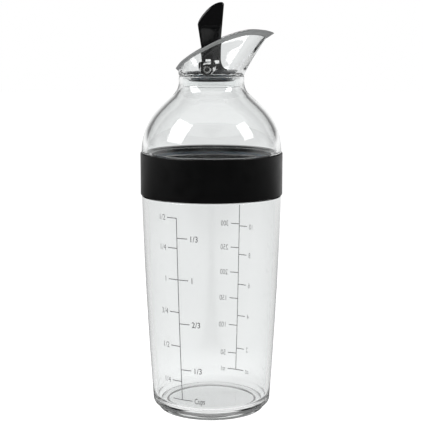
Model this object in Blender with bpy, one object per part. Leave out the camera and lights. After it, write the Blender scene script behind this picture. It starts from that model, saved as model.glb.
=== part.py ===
"""An oil and vinegar dispenser: a clear graduated bottle under a clear domed lid.

The lid has a black grip band and a flared pouring spout. A lever on a pin tilts a
round stopper out of its conical seat in the spout. Run it in Blender 4.5. Lengths are
in metres, +Z is up, the bottle stands on z = 0 and the spout pours towards +X.
"""
from math import asin, atan2, cos, pi, radians, sin, tan

import bpy
import bmesh
from mathutils import Matrix, Vector

MM = 0.001

# Facets
SIDES = 48
FILLET_STEPS = 2
SMOOTH_ANGLE = radians(32)
MERGE = 0.001 * MM

# Clearances between pieces
GAP = 0.3 * MM
PIN_GAP = 0.25 * MM
OVERRUN = 1.0 * MM

# Bottle: a tapered, slightly bellied cup with a ring foot, a stepped shoulder and a neck
BOTTLE_WALL = 2.2 * MM
FOOT_RADIUS = 28.9 * MM
FOOT_RING_WIDTH = 4.1 * MM
FOOT_RECESS = 1.2 * MM
FOOT_CHAMFER = 1.0 * MM
FOOT_HEIGHT = 1.5 * MM
FOOT_DRAFT = 0.3 * MM
HEEL_STEP = 0.5 * MM
HEEL_HEIGHT = 3.7 * MM
HEEL_RADIUS = 32.15 * MM
HEEL_FILLET = 3.2 * MM
BODY_LOW = 7.5 * MM
BODY_LOW_RADIUS = 32.35 * MM
BODY_BELLY = 0.6 * MM
BODY_RINGS = 4
SHOULDER_HEIGHT = 121.2 * MM
SHOULDER_INSET = 0.7 * MM
SHOULDER_FILLET = 0.9 * MM
SHOULDER_SLOPE_HEIGHT = 2.1 * MM
SHOULDER_SLOPE_FILLET = 1.1 * MM
FLOOR_HEIGHT = 4.5 * MM
FLOOR_FILLET = 4.5 * MM
NECK_RADIUS = 33.9 * MM
NECK_WALL = 2.0 * MM
NECK_LENGTH = 14.8 * MM
NECK_FILLET = 0.7 * MM
NECK_LIP_FILLET = 0.6 * MM

# Gasket between the bottle's lip and the lid's ledge
GASKET_THICKNESS = 1.7 * MM
GASKET_OVERHANG = 0.4 * MM
GASKET_FILLET = 0.4 * MM

# Domed lid: a threaded skirt, a ledge, a domed roof and a short neck
SKIRT_CLEARANCE = 1.0 * MM
SKIRT_WALL = 1.7 * MM
SKIRT_FILLET = 0.3 * MM
LEDGE_THICKNESS = 2.0 * MM
LEDGE_OVERHANG = 0.4 * MM
DOME_INSET = 0.65 * MM
DOME_WALL = 2.4 * MM
DOME_EAVES = 15.0 * MM
DOME_SLOPE = radians(42.5)
DOME_STEPS = 6
MOUTH_RADIUS = 17.5 * MM
MOUTH_WALL = 1.9 * MM
MOUTH_FILLET = 9.6 * MM
MOUTH_LENGTH = 7.25 * MM
MOUTH_EDGE = 0.4 * MM

# Grip band over the skirt, with a lip under its lower edge and an apron round the shoulder
BAND_HEIGHT = 22.7 * MM
BAND_WALL = 1.5 * MM
BAND_FILLET = 0.5 * MM
BAND_LIP = 0.5 * MM
BAND_LIP_CLEARANCE = 0.2 * MM
BAND_APRON = 3.0 * MM

# Pivot: a steel pin across the spout, behind the axis and above the seat
PIVOT_BACK = 2.3 * MM
PIVOT_RISE = 3.9 * MM
PIN_RADIUS = 1.8 * MM
PIN_CHAMFER = 0.25 * MM
PIN_DIMPLE_RADIUS = 1.15 * MM
PIN_DIMPLE_DEPTH = 0.8 * MM
PIN_SIDES = 24
HUB_WALL = 0.95 * MM
HUB_HALF_WIDTH = 14.9 * MM
PIN_END = 0.9 * MM

# Stopper: a domed plate that holds a tapered silicone seal
SEAL_RADIUS = 13.9 * MM
SEAL_RISE = 0.5 * MM
SEAL_HEIGHT = 2.4 * MM
SEAL_DEPTH = 2.05 * MM
SEAL_FILLET = 0.3 * MM
PLATE_RADIUS = 13.7 * MM
PLATE_EDGE = 0.5 * MM
PLATE_CROWN = 1.9 * MM
PLATE_CROWN_RINGS = 4
PLATE_FLANGE = 0.6 * MM
PLATE_FLANGE_WIDTH = 0.8 * MM

# Pouring spout: a skirt in the lid's mouth, a conical seat and a flared wall with a drip edge
SPOUT_FLANGE_RADIUS = 17.6 * MM
SPOUT_SKIRT_LENGTH = 6.4 * MM
SPOUT_CHAMFER = 0.4 * MM
SPOUT_WALL = 2.2 * MM
SPOUT_FOOT_RISE = 2.6 * MM
SEAT_RISE = 0.5 * MM
LIP_REACH = 33.3 * MM
REAR_REACH = 19.1 * MM
RIM_HALF_WIDTH = 22.0 * MM
RIM_FOOT = 4.0 * MM
RIM_RISE = 20.2 * MM
RIM_WIDTH = 2.4 * MM
RIM_CANT = 0.4 * MM
RIM_ROUND = 0.3 * MM
RIM_NUDGE = radians(0.5)
DRIP_REACH = 1.3 * MM
DRIP_DROP = 1.5 * MM
LIP_DRIP_REACH = 4.1 * MM
LIP_DRIP_DROP = 3.0 * MM
EGG_SHARE = 0.32
LEAN_SHARE = 0.74
SIDE_LEAN_SHARE = 0.3
WALL_LEVELS = 4
# Height of the rim from the lip round to the rear, at equal turns
RIM_RISE_SHARES = (0.92, 0.975, 0.98, 0.795, 0.505, 0.205, 0)

# Cradles inside the spout: a U-shaped pad on each side for the hub and the pin
CRADLE_FACE = 14.2 * MM
CRADLE_BACK = 16.2 * MM
CRADLE_BACK_TOP = 16.9 * MM
CRADLE_LEG = 0.9 * MM
CRADLE_TOP = 4.2 * MM
CRADLE_ROOT = 2.2 * MM
CRADLE_MOUTH = 8.0 * MM

# Lever: a stem above the hub, a flared thumb blade and a tail on the plate
STEM_REAR = 5.5 * MM
STEM_FRONT = 4.7 * MM
STEM_HALF_WIDTH = 4.2 * MM
STEM_FOOT_RISE = 1.4 * MM
STEM_RISE = 11.2 * MM
STEM_CORNER = 1.4 * MM
BLADE_REAR = 7.3 * MM
BLADE_FRONT = 6.6 * MM
BLADE_HALF_WIDTH = 7.2 * MM
BLADE_REAR_LENGTH = 11.8 * MM
BLADE_FRONT_LENGTH = 22.2 * MM
BLADE_BELLY = 3.0 * MM
BLADE_EDGE = 1.4 * MM
BLADE_LEVELS = 4
BLADE_SIDE_STEPS = 5
BLADE_TOP_SHARES = (0.6, 0.2)
TAIL_REACH = 8.3 * MM
TAIL_HALF_WIDTH = 3.0 * MM
TAIL_START = 2.1 * MM
TAIL_RISE = 5.8 * MM
TAIL_TOE = 0.5 * MM
TAIL_STEPS = 5
PEG_RADIUS = 1.3 * MM
PEG_PLACE = 4.6 * MM
PEG_DEPTH = 3.2 * MM
WINDOW_REAR_SIZE = (2.8 * MM, 1.4 * MM)
WINDOW_REAR_PLACE = (-2.0 * MM, 4.2 * MM)
WINDOW_FRONT_SIZE = (2.4 * MM, 1.8 * MM)
WINDOW_FRONT_PLACE = (2.7 * MM, 3.4 * MM)

# Sizes that follow from the ones above, from the bottle up to the lever
NECK_TOP = SHOULDER_HEIGHT + NECK_LENGTH
NECK_BORE = NECK_RADIUS - NECK_WALL
GASKET_LOW = NECK_TOP + GAP
LEDGE_LOW = GASKET_LOW + GASKET_THICKNESS + GAP
GASKET_OUTER = NECK_RADIUS + GASKET_OVERHANG
SKIRT_BORE = NECK_RADIUS + SKIRT_CLEARANCE
SKIRT_RADIUS = SKIRT_BORE + SKIRT_WALL
LEDGE_RADIUS = NECK_BORE + LEDGE_OVERHANG
BAND_LIP_LOW = SHOULDER_HEIGHT + GAP
BODY_TOP = SHOULDER_HEIGHT - BAND_APRON
BAND_LOW = BODY_TOP + GAP
BAND_TOP = BAND_LOW + BAND_HEIGHT
BAND_BORE = SKIRT_RADIUS + GAP
BAND_RADIUS = BAND_BORE + BAND_WALL
BODY_TOP_RADIUS = BAND_RADIUS - SHOULDER_INSET
SHOULDER_RADIUS = BAND_BORE - GAP
DOME_RADIUS = BAND_RADIUS - DOME_INSET
SKIRT_LOW = BAND_LIP_LOW + BAND_LIP + GAP
DOME_LOW = BAND_TOP + GAP
DOME_EAVES_HEIGHT = DOME_LOW + DOME_EAVES
MOUTH_ROOT = DOME_EAVES_HEIGHT + (DOME_RADIUS - MOUTH_RADIUS) * tan(DOME_SLOPE)
MOUTH_TOP = MOUTH_ROOT + MOUTH_LENGTH
MOUTH_BORE = MOUTH_RADIUS - MOUTH_WALL
PIVOT = Vector((-PIVOT_BACK, 0, MOUTH_TOP + PIVOT_RISE))
SEAL_TOP = MOUTH_TOP + SEAL_RISE
RIM_LOW = MOUTH_TOP + RIM_FOOT
STEM_HEIGHT = PIVOT.z + STEM_RISE
BLADE_REAR_TOP = STEM_HEIGHT + BLADE_REAR_LENGTH
BLADE_FRONT_TOP = STEM_HEIGHT + BLADE_FRONT_LENGTH
TAIL_TOP = PIVOT.z + TAIL_RISE
HUB_RADIUS = PIN_RADIUS + PIN_GAP + HUB_WALL
SEAL_LOW = SEAL_TOP - SEAL_HEIGHT
SEAT_TAPER = (PIVOT.z - SEAL_TOP + SEAL_HEIGHT / 2) / SEAL_RADIUS
PLATE_CORE = SEAL_RADIUS - SEAL_DEPTH - GAP
PLATE_LOW = SEAL_LOW - GAP - PLATE_FLANGE
PLATE_RIM_LOW = SEAL_TOP + GAP
SPOUT_FLANGE_LOW = MOUTH_TOP + GAP
SPOUT_SKIRT_RADIUS = MOUTH_BORE - GAP
SPOUT_SKIRT_LOW = SPOUT_FLANGE_LOW - SPOUT_SKIRT_LENGTH
SPOUT_MIDDLE = (LIP_REACH - REAR_REACH) / 2
SPOUT_HALF_LENGTH = (LIP_REACH + REAR_REACH) / 2


def clear_scene():
    for item in list(bpy.data.objects):
        bpy.data.objects.remove(item, do_unlink=True)


def make_material(name, colour, roughness, metallic=0.0, transmission=0.0, ior=1.5):
    material = bpy.data.materials.new(name)
    material.use_nodes = True
    shader = material.node_tree.nodes["Principled BSDF"]
    shader.inputs["Base Color"].default_value = (*colour, 1)
    shader.inputs["Roughness"].default_value = roughness
    shader.inputs["Metallic"].default_value = metallic
    shader.inputs["Transmission Weight"].default_value = transmission
    shader.inputs["IOR"].default_value = ior
    material.diffuse_color = (*colour, 1)
    return material


def rounded(corners, steps=FILLET_STEPS, closed=True):
    """Points of an outline whose corners are (x, y, fillet radius)."""
    points = []
    count = len(corners)
    for index, (x, y, fillet) in enumerate(corners):
        corner = Vector((x, y))
        at_end = not closed and index in (0, count - 1)
        if not fillet or at_end:
            points.append(corner)
            continue
        before = (Vector(corners[index - 1][:2]) - corner).normalized()
        after = (Vector(corners[(index + 1) % count][:2]) - corner).normalized()
        half = before.angle(after) / 2
        centre = corner + (before + after).normalized() * (fillet / sin(half))
        first = corner + before * (fillet / tan(half)) - centre
        last = corner + after * (fillet / tan(half)) - centre
        start = atan2(first.y, first.x)
        sweep = (atan2(last.y, last.x) - start + pi) % (2 * pi) - pi
        for step in range(steps + 1):
            angle = start + sweep * step / steps
            points.append(centre + Vector((cos(angle), sin(angle))) * fillet)
    return points


def skin(name, rings, material, closed=False):
    """A solid skinned over rings of points; an open stack of rings gets flat caps."""
    mesh = bpy.data.meshes.new(name)
    grid = bmesh.new()
    loops = [[grid.verts.new(point) for point in ring] for ring in rings]
    size = len(rings[0])
    pairs = list(zip(loops, loops[1:]))
    if closed:
        pairs.append((loops[-1], loops[0]))
    for lower, upper in pairs:
        for side in range(size):
            after = (side + 1) % size
            grid.faces.new((lower[side], lower[after], upper[after], upper[side]))
    if not closed:
        grid.faces.new(loops[0])
        grid.faces.new(loops[-1])
    bmesh.ops.remove_doubles(grid, verts=grid.verts, dist=MERGE)
    bmesh.ops.recalc_face_normals(grid, faces=grid.faces)
    grid.to_mesh(mesh)
    grid.free()
    mesh.shade_smooth()
    mesh.set_sharp_from_angle(angle=SMOOTH_ANGLE)
    mesh.materials.append(material)
    item = bpy.data.objects.new(name, mesh)
    bpy.context.scene.collection.objects.link(item)
    return item


def circle(radius, height, sides=SIDES):
    turns = [2 * pi * side / sides for side in range(sides)]
    return [(radius * cos(turn), radius * sin(turn), height) for turn in turns]


def turned(name, outline, material, closed=False, sides=SIDES):
    """A solid turned about Z from an outline of (radius, height) points."""
    rings = [circle(radius, height, sides) for radius, height in outline]
    return skin(name, rings, material, closed)


def plank(name, outline, near, far, material):
    """An outline in the XZ plane, made solid from y = near to y = far."""
    rings = [[(x, y, z) for x, z in outline] for y in (near, far)]
    return skin(name, rings, material)


def rod(name, radius, near, far, material, sides=PIN_SIDES):
    """A plain cylinder along Y on the pivot's axis."""
    turns = [2 * pi * side / sides for side in range(sides)]
    outline = [(PIVOT.x + radius * cos(turn), PIVOT.z + radius * sin(turn)) for turn in turns]
    return plank(name, outline, near, far, material)


def combine(item, tool, operation):
    """Add or cut a helper shape, which stays in the file as a hidden wire."""
    modifier = item.modifiers.new(f"{operation.lower()} {tool.name}", "BOOLEAN")
    modifier.operation = operation
    modifier.object = tool
    tool.display_type = "WIRE"
    tool.hide_render = True


def set_origin(item, origin):
    item.data.transform(Matrix.Translation(-Vector(origin)))
    item.location = origin


def parent_to_axis(name, place, items):
    """An empty on a joint's axis that carries the pieces that move about it."""
    axis = bpy.data.objects.new(name, None)
    axis.location = place
    bpy.context.scene.collection.objects.link(axis)
    for item in items:
        item.parent = axis
        item.matrix_parent_inverse = Matrix.Translation(-Vector(place))
    return axis


def body_radius(height):
    """Outer radius of the bottle's wall at a height."""
    share = (height - BODY_LOW) / (BODY_TOP - BODY_LOW)
    straight = BODY_LOW_RADIUS + (BODY_TOP_RADIUS - BODY_LOW_RADIUS) * share
    return straight + 4 * BODY_BELLY * share * (1 - share)


def body_heights():
    """Heights of the bottle wall's rings, from the heel up to below the band's apron."""
    top = BODY_TOP - SHOULDER_SLOPE_HEIGHT
    return [BODY_LOW + (top - BODY_LOW) * ring / BODY_RINGS for ring in range(BODY_RINGS + 1)]


def make_bottle(material):
    ring_bore = FOOT_RADIUS - FOOT_RING_WIDTH
    outside = [
        (0, FOOT_RECESS, 0),
        (ring_bore - FOOT_CHAMFER, FOOT_RECESS, 0),
        (ring_bore, 0, 0),
        (FOOT_RADIUS, 0, 0),
        (FOOT_RADIUS + FOOT_DRAFT, FOOT_HEIGHT, 0),
        (FOOT_RADIUS + FOOT_DRAFT + HEEL_STEP, FOOT_HEIGHT, 0),
        (HEEL_RADIUS, HEEL_HEIGHT, HEEL_FILLET),
    ]
    outside += [(body_radius(height), height, 0) for height in body_heights()]
    outside += [
        (BODY_TOP_RADIUS, BODY_TOP, 0),
        (SHOULDER_RADIUS, BODY_TOP, 0),
        (SHOULDER_RADIUS, SHOULDER_HEIGHT, SHOULDER_FILLET),
        (NECK_RADIUS, SHOULDER_HEIGHT, NECK_FILLET),
        (NECK_RADIUS, NECK_TOP, NECK_LIP_FILLET),
    ]
    slope_top = SHOULDER_HEIGHT - BOTTLE_WALL / 4
    slope_low = slope_top - SHOULDER_SLOPE_HEIGHT
    inside = [
        (NECK_BORE, NECK_TOP, NECK_LIP_FILLET),
        (NECK_BORE, slope_top, SHOULDER_SLOPE_FILLET),
        (body_radius(slope_low) - BOTTLE_WALL, slope_low, SHOULDER_SLOPE_FILLET),
    ]
    for height in reversed(body_heights()[1:]):
        inside.append((body_radius(height) - BOTTLE_WALL, height, 0))
    floor_radius = body_radius(FLOOR_HEIGHT) - BOTTLE_WALL
    inside += [
        (floor_radius, FLOOR_HEIGHT, FLOOR_FILLET),
        (0, FLOOR_HEIGHT, 0),
    ]
    return turned("container", rounded(outside + inside, closed=False)[1:-1], material)


def make_gasket(material):
    top = GASKET_LOW + GASKET_THICKNESS
    outline = rounded([
        (GASKET_OUTER, GASKET_LOW, GASKET_FILLET),
        (GASKET_OUTER, top, GASKET_FILLET),
        (NECK_BORE, top, GASKET_FILLET),
        (NECK_BORE, GASKET_LOW, GASKET_FILLET),
    ], steps=1)
    return turned("lid_gasket", outline, material, closed=True)


def roof_height(radius, depth=0):
    """Height of the dome's straight slope at a radius, or of one a depth beneath it."""
    return DOME_EAVES_HEIGHT + (DOME_RADIUS - radius) * tan(DOME_SLOPE) - depth / cos(DOME_SLOPE)


def make_dome(material):
    bend = tan((pi - (pi / 2 - DOME_SLOPE)) / 2)
    dome_fillet = DOME_EAVES * bend
    inner_radius = DOME_RADIUS - DOME_WALL
    ledge_top = LEDGE_LOW + LEDGE_THICKNESS
    inner_rise = roof_height(inner_radius, DOME_WALL) - DOME_LOW
    ledge = [
        (SKIRT_BORE, LEDGE_LOW, SKIRT_FILLET),
        (LEDGE_RADIUS, LEDGE_LOW, SKIRT_FILLET),
        (LEDGE_RADIUS, ledge_top, SKIRT_FILLET),
        (inner_radius, ledge_top, SKIRT_FILLET),
    ]
    skirt = [
        (DOME_RADIUS, DOME_LOW, 0),
        (SKIRT_RADIUS, DOME_LOW, 0),
        (SKIRT_RADIUS, SKIRT_LOW, SKIRT_FILLET),
        (SKIRT_BORE, SKIRT_LOW, SKIRT_FILLET),
    ]
    roof_inside = rounded([
        (inner_radius, ledge_top, 0),
        (inner_radius, DOME_LOW + inner_rise, inner_rise * bend),
        (MOUTH_BORE, roof_height(MOUTH_BORE, DOME_WALL), 0),
    ], steps=DOME_STEPS, closed=False)[1:-1]
    mouth_inside = rounded([
        (inner_radius, roof_height(inner_radius, DOME_WALL), 0),
        (MOUTH_BORE, roof_height(MOUTH_BORE, DOME_WALL), MOUTH_FILLET + MOUTH_WALL),
        (MOUTH_BORE, MOUTH_TOP, MOUTH_EDGE),
        (MOUTH_RADIUS, MOUTH_TOP, MOUTH_EDGE),
        (MOUTH_RADIUS, roof_height(MOUTH_RADIUS), MOUTH_FILLET),
        (DOME_RADIUS, roof_height(DOME_RADIUS), 0),
    ], closed=False)[1:-1]
    roof_outside = rounded([
        (MOUTH_RADIUS, roof_height(MOUTH_RADIUS), 0),
        (DOME_RADIUS, roof_height(DOME_RADIUS), dome_fillet),
        (DOME_RADIUS, DOME_LOW, 0),
    ], steps=DOME_STEPS, closed=False)[1:-1]
    lower = rounded(skirt + ledge, steps=1)
    outline = lower + roof_inside + mouth_inside + roof_outside
    return turned("dome_lid", outline, material, closed=True)


def make_band(material):
    outline = rounded([
        (BAND_BORE + BAND_WALL, BAND_TOP, BAND_FILLET),
        (BAND_BORE, BAND_TOP, BAND_FILLET / 2),
        (BAND_BORE, BAND_LIP_LOW + BAND_LIP, 0),
        (SKIRT_BORE + BAND_LIP_CLEARANCE, BAND_LIP_LOW + BAND_LIP, 0),
        (SKIRT_BORE + BAND_LIP_CLEARANCE, BAND_LIP_LOW, 0),
        (BAND_BORE, BAND_LIP_LOW, 0),
        (BAND_BORE, BAND_LOW, 0),
        (BAND_BORE + BAND_WALL, BAND_LOW, BAND_FILLET),
    ])
    return turned("grip_band", outline, material, closed=True)


def seal_radius(height):
    """Outer radius of the tapered seal at a height."""
    return SEAL_RADIUS - (SEAL_TOP - height) * SEAT_TAPER


def rim_share(turn):
    """Share of the rim's rise at a turn, on a smooth curve through the named shares."""
    folded = min(turn, 2 * pi - turn)
    last = len(RIM_RISE_SHARES) - 1
    place = folded / pi * last
    index = min(int(place), last - 1)
    f = place - index
    a = RIM_RISE_SHARES[abs(index - 1)]
    b = RIM_RISE_SHARES[index]
    c = RIM_RISE_SHARES[index + 1]
    d = RIM_RISE_SHARES[last - abs(last - index - 2)]
    cubic = (3 * b - a - 3 * c + d) * f + 2 * a - 5 * b + 4 * c - d
    return (2 * b + (c - a) * f + cubic * f * f) / 2


def rim_plan(turn):
    """The rim's outer edge seen from above, an egg with its narrow end at the lip."""
    x = SPOUT_MIDDLE + SPOUT_HALF_LENGTH * cos(turn)
    y = RIM_HALF_WIDTH * sin(turn) * (1 - EGG_SHARE * cos(turn))
    return Vector((x, y, 0))


def rim_point(turn, back, lift):
    """A point of the rim, back from its outer edge and lifted above it."""
    along = rim_plan(turn + RIM_NUDGE) - rim_plan(turn - RIM_NUDGE)
    outward = Vector((along.y, -along.x, 0)).normalized()
    height = RIM_LOW + RIM_RISE * rim_share(turn)
    return rim_plan(turn) - outward * back + Vector((0, 0, height + lift))


def drip_point(turn):
    """Where the wall bends out to its drip edge, which is widest at the pouring lip."""
    front = ((1 + cos(turn)) / 2) ** 2
    back = DRIP_REACH + (LIP_DRIP_REACH - DRIP_REACH) * front
    drop = DRIP_DROP + (LIP_DRIP_DROP - DRIP_DROP) * front
    return rim_point(turn, back, -drop)


def flare_point(turn, share, foot_radius, foot_height, brim):
    """A point on the spout's wall, a share of the way from its round foot to its brim."""
    straight = SIDE_LEAN_SHARE + (LEAN_SHARE - SIDE_LEAN_SHARE) * cos(turn) ** 2
    lean = share * (straight + (1 - straight) * share)
    x = foot_radius * cos(turn) * (1 - lean) + brim.x * lean
    y = foot_radius * sin(turn) * (1 - lean) + brim.y * lean
    return Vector((x, y, foot_height * (1 - share) + brim.z * share))


def flare_ring(turns, share, foot_radius, foot_height, brim):
    """A ring of the spout's wall under a brim, which has one point for each turn."""
    return [flare_point(turn, share, foot_radius, foot_height, top) for turn, top in zip(turns, brim)]


def make_spout(material):
    turns = [2 * pi * side / SIDES for side in range(SIDES)]
    seat_top = SEAL_TOP + SEAT_RISE
    foot_radius = SPOUT_FLANGE_RADIUS - SPOUT_WALL
    foot_height = SPOUT_FLANGE_LOW + SPOUT_FOOT_RISE
    seat_top_radius = seal_radius(seat_top) + GAP
    bore = seal_radius(SEAL_LOW) + GAP
    outer_brim = [drip_point(turn) for turn in turns]
    inner_brim = [rim_point(turn, RIM_WIDTH, RIM_CANT - RIM_ROUND) for turn in turns]
    shares = [level / WALL_LEVELS for level in range(WALL_LEVELS)]
    rings = [flare_ring(turns, share, SPOUT_FLANGE_RADIUS, SPOUT_FLANGE_LOW, outer_brim) for share in shares]
    rings.append(outer_brim)
    rings.append([rim_point(turn, 0, -RIM_ROUND) for turn in turns])
    rings.append([rim_point(turn, RIM_ROUND, 0) for turn in turns])
    rings.append([rim_point(turn, RIM_WIDTH - RIM_ROUND, RIM_CANT) for turn in turns])
    rings.append(inner_brim)
    for share in reversed(shares):
        rings.append(flare_ring(turns, share, foot_radius, foot_height, inner_brim))
    below = rounded([
        (foot_radius, foot_height, 0),
        (seat_top_radius + SEAT_RISE, seat_top + SEAT_RISE, SEAT_RISE),
        (seat_top_radius, seat_top, 0),
        (bore, SEAL_LOW, 0),
        (bore, SPOUT_SKIRT_LOW, SPOUT_CHAMFER),
        (SPOUT_SKIRT_RADIUS, SPOUT_SKIRT_LOW, SPOUT_CHAMFER),
        (SPOUT_SKIRT_RADIUS, SPOUT_FLANGE_LOW, 0),
    ], steps=2, closed=False)[1:]
    rings += [circle(radius, height) for radius, height in below]
    spout = skin("pour_spout", rings, material, closed=True)
    for side, label in ((-1, "near"), (1, "far")):
        add_cradle(spout, side, label, material)
    return spout


def slot_outline(radius, top):
    """A U open upwards about the pivot: half a circle with straight sides to a top."""
    steps = PIN_SIDES // 2
    points = [(PIVOT.x + radius, top)]
    for step in range(steps + 1):
        angle = -pi * step / steps
        points.append((PIVOT.x + radius * cos(angle), PIVOT.z + radius * sin(angle)))
    points.append((PIVOT.x - radius, top))
    return points


def make_pad(name, outline, side, material):
    """The cradle's pad, whose back leans out with the wall that it is buried in."""
    root = min(z for x, z in outline)
    lean = (CRADLE_BACK_TOP - CRADLE_BACK) / (CRADLE_ROOT + CRADLE_TOP)
    face = [(x, side * CRADLE_FACE, z) for x, z in outline]
    back = [(x, side * (CRADLE_BACK + (z - root) * lean), z) for x, z in outline]
    return skin(name, [face, back], material)


def add_cradle(spout, side, label, material):
    """A pad on the spout's inner wall with a stepped slot for the hub's end and the pin's."""
    slot = HUB_RADIUS + GAP
    pad_half = slot + CRADLE_LEG
    pad_top = PIVOT.z + CRADLE_TOP
    pad = rounded([
        (PIVOT.x - pad_half, PIVOT.z - CRADLE_ROOT, 0),
        (PIVOT.x + pad_half, PIVOT.z - CRADLE_ROOT, 0),
        (PIVOT.x + pad_half, pad_top, CRADLE_LEG),
        (PIVOT.x - pad_half, pad_top, CRADLE_LEG),
    ])
    hub_end = HUB_HALF_WIDTH + GAP
    pin_end = HUB_HALF_WIDTH + PIN_END + GAP
    start = CRADLE_FACE - OVERRUN
    hub_outline = slot_outline(slot, pad_top + CRADLE_MOUTH)
    pin_outline = slot_outline(PIN_RADIUS + GAP, pad_top - CRADLE_LEG)
    hub_slot = plank(f"{label}_hub_slot", hub_outline, side * start, side * hub_end, material)
    pin_slot = plank(f"{label}_pin_slot", pin_outline, side * start, side * pin_end, material)
    combine(spout, make_pad(f"{label}_pad", pad, side, material), "UNION")
    combine(spout, hub_slot, "DIFFERENCE")
    combine(spout, pin_slot, "DIFFERENCE")


def make_pin(material):
    half = HUB_HALF_WIDTH + PIN_END
    outline = [
        (PIN_DIMPLE_RADIUS / 4, half - PIN_DIMPLE_DEPTH),
        (PIN_DIMPLE_RADIUS, half),
        (PIN_RADIUS - PIN_CHAMFER, half),
        (PIN_RADIUS, half - PIN_CHAMFER),
    ]
    outline += [(radius, -height) for radius, height in reversed(outline)]
    turns = [2 * pi * side / PIN_SIDES for side in range(PIN_SIDES)]
    rings = [
        [(PIVOT.x + radius * cos(turn), across, PIVOT.z + radius * sin(turn)) for turn in turns]
        for radius, across in outline
    ]
    return skin("pivot_pin", rings, material)


def plate_top(radius):
    """Height of the stopper plate's domed top at a radius."""
    crown_radius = (PLATE_RADIUS ** 2 + PLATE_CROWN ** 2) / (2 * PLATE_CROWN)
    centre = PLATE_RIM_LOW + PLATE_EDGE + PLATE_CROWN - crown_radius
    return centre + crown_radius * cos(asin(radius / crown_radius))


def make_plate(material):
    outline = [
        (PLATE_CORE + PLATE_FLANGE_WIDTH - PLATE_FLANGE / 2, PLATE_LOW),
        (PLATE_CORE + PLATE_FLANGE_WIDTH, PLATE_LOW + PLATE_FLANGE / 2),
        (PLATE_CORE + PLATE_FLANGE_WIDTH, PLATE_LOW + PLATE_FLANGE),
        (PLATE_CORE, PLATE_LOW + PLATE_FLANGE),
        (PLATE_CORE, PLATE_RIM_LOW),
        (PLATE_RADIUS, PLATE_RIM_LOW),
    ]
    for ring in range(PLATE_CROWN_RINGS):
        radius = PLATE_RADIUS * (1 - ring / PLATE_CROWN_RINGS)
        outline.append((radius, plate_top(radius)))
    plate = turned("stopper_plate", outline, material)
    half = PLATE_RADIUS + OVERRUN
    trough = rod("plate_trough", HUB_RADIUS + GAP, -half, half, material)
    combine(plate, trough, "DIFFERENCE")
    peg_low = plate_top(PEG_PLACE) - PEG_DEPTH
    hole_top = plate_top(0) + OVERRUN
    hole = peg("plate_hole", PEG_RADIUS + GAP, peg_low - GAP, hole_top, material)
    combine(plate, hole, "DIFFERENCE")
    return plate


def peg(name, radius, low, top, material):
    """An upright cylinder where the lever's peg enters the plate."""
    rings = []
    for height in (low, top):
        rings.append([(x + PEG_PLACE, y, z) for x, y, z in circle(radius, height, PIN_SIDES)])
    return skin(name, rings, material)


def make_seal(material):
    outline = rounded([
        (SEAL_RADIUS, SEAL_TOP, SEAL_FILLET),
        (SEAL_RADIUS - SEAL_DEPTH, SEAL_TOP, 0),
        (SEAL_RADIUS - SEAL_DEPTH, SEAL_LOW, 0),
        (seal_radius(SEAL_LOW), SEAL_LOW, SEAL_FILLET),
    ], steps=2)
    return turned("stopper_seal", outline, material, closed=True)


def blade_plan(share, inset):
    """The blade's section seen from above, at a share of the way up, drawn in by inset."""
    rear = -(STEM_REAR + (BLADE_REAR - STEM_REAR) * share) + inset
    front = STEM_FRONT + (BLADE_FRONT - STEM_FRONT) * share - inset
    swell = share * share * (3 - 2 * share)
    half = STEM_HALF_WIDTH + (BLADE_HALF_WIDTH - STEM_HALF_WIDTH) * swell - inset
    sides = [rear + (front - rear) * step / BLADE_SIDE_STEPS for step in range(1, BLADE_SIDE_STEPS)]
    return rounded([
        (rear, -half, STEM_CORNER),
        *[(x, -half, 0) for x in sides],
        (front, -half, STEM_CORNER),
        (front, half, STEM_CORNER),
        *[(x, half, 0) for x in reversed(sides)],
        (rear, half, STEM_CORNER),
    ])


def blade_height(share, x):
    """Height of the blade's surface at a share of its length, level at first, then slanted."""
    rear = -(STEM_REAR + (BLADE_REAR - STEM_REAR) * share)
    front = STEM_FRONT + (BLADE_FRONT - STEM_FRONT) * share
    low = STEM_HEIGHT + (BLADE_REAR_TOP - STEM_HEIGHT) * share
    high = STEM_HEIGHT + (BLADE_FRONT_TOP - STEM_HEIGHT) * share
    along = (x - rear) / (front - rear)
    return low + (high - low) * along + 4 * BLADE_BELLY * share * along * (1 - along)


def blade_ring(share, inset=0, lift=0, shrink=1):
    """One ring of the lever's blade; a shrink under 1 draws it in towards its middle."""
    plan = blade_plan(share, inset)
    middle = sum(point.x for point in plan) / len(plan)
    points = []
    for x, y in plan:
        x = middle + (x - middle) * shrink
        points.append((x, y * shrink, blade_height(share, x) + lift))
    return points


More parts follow.
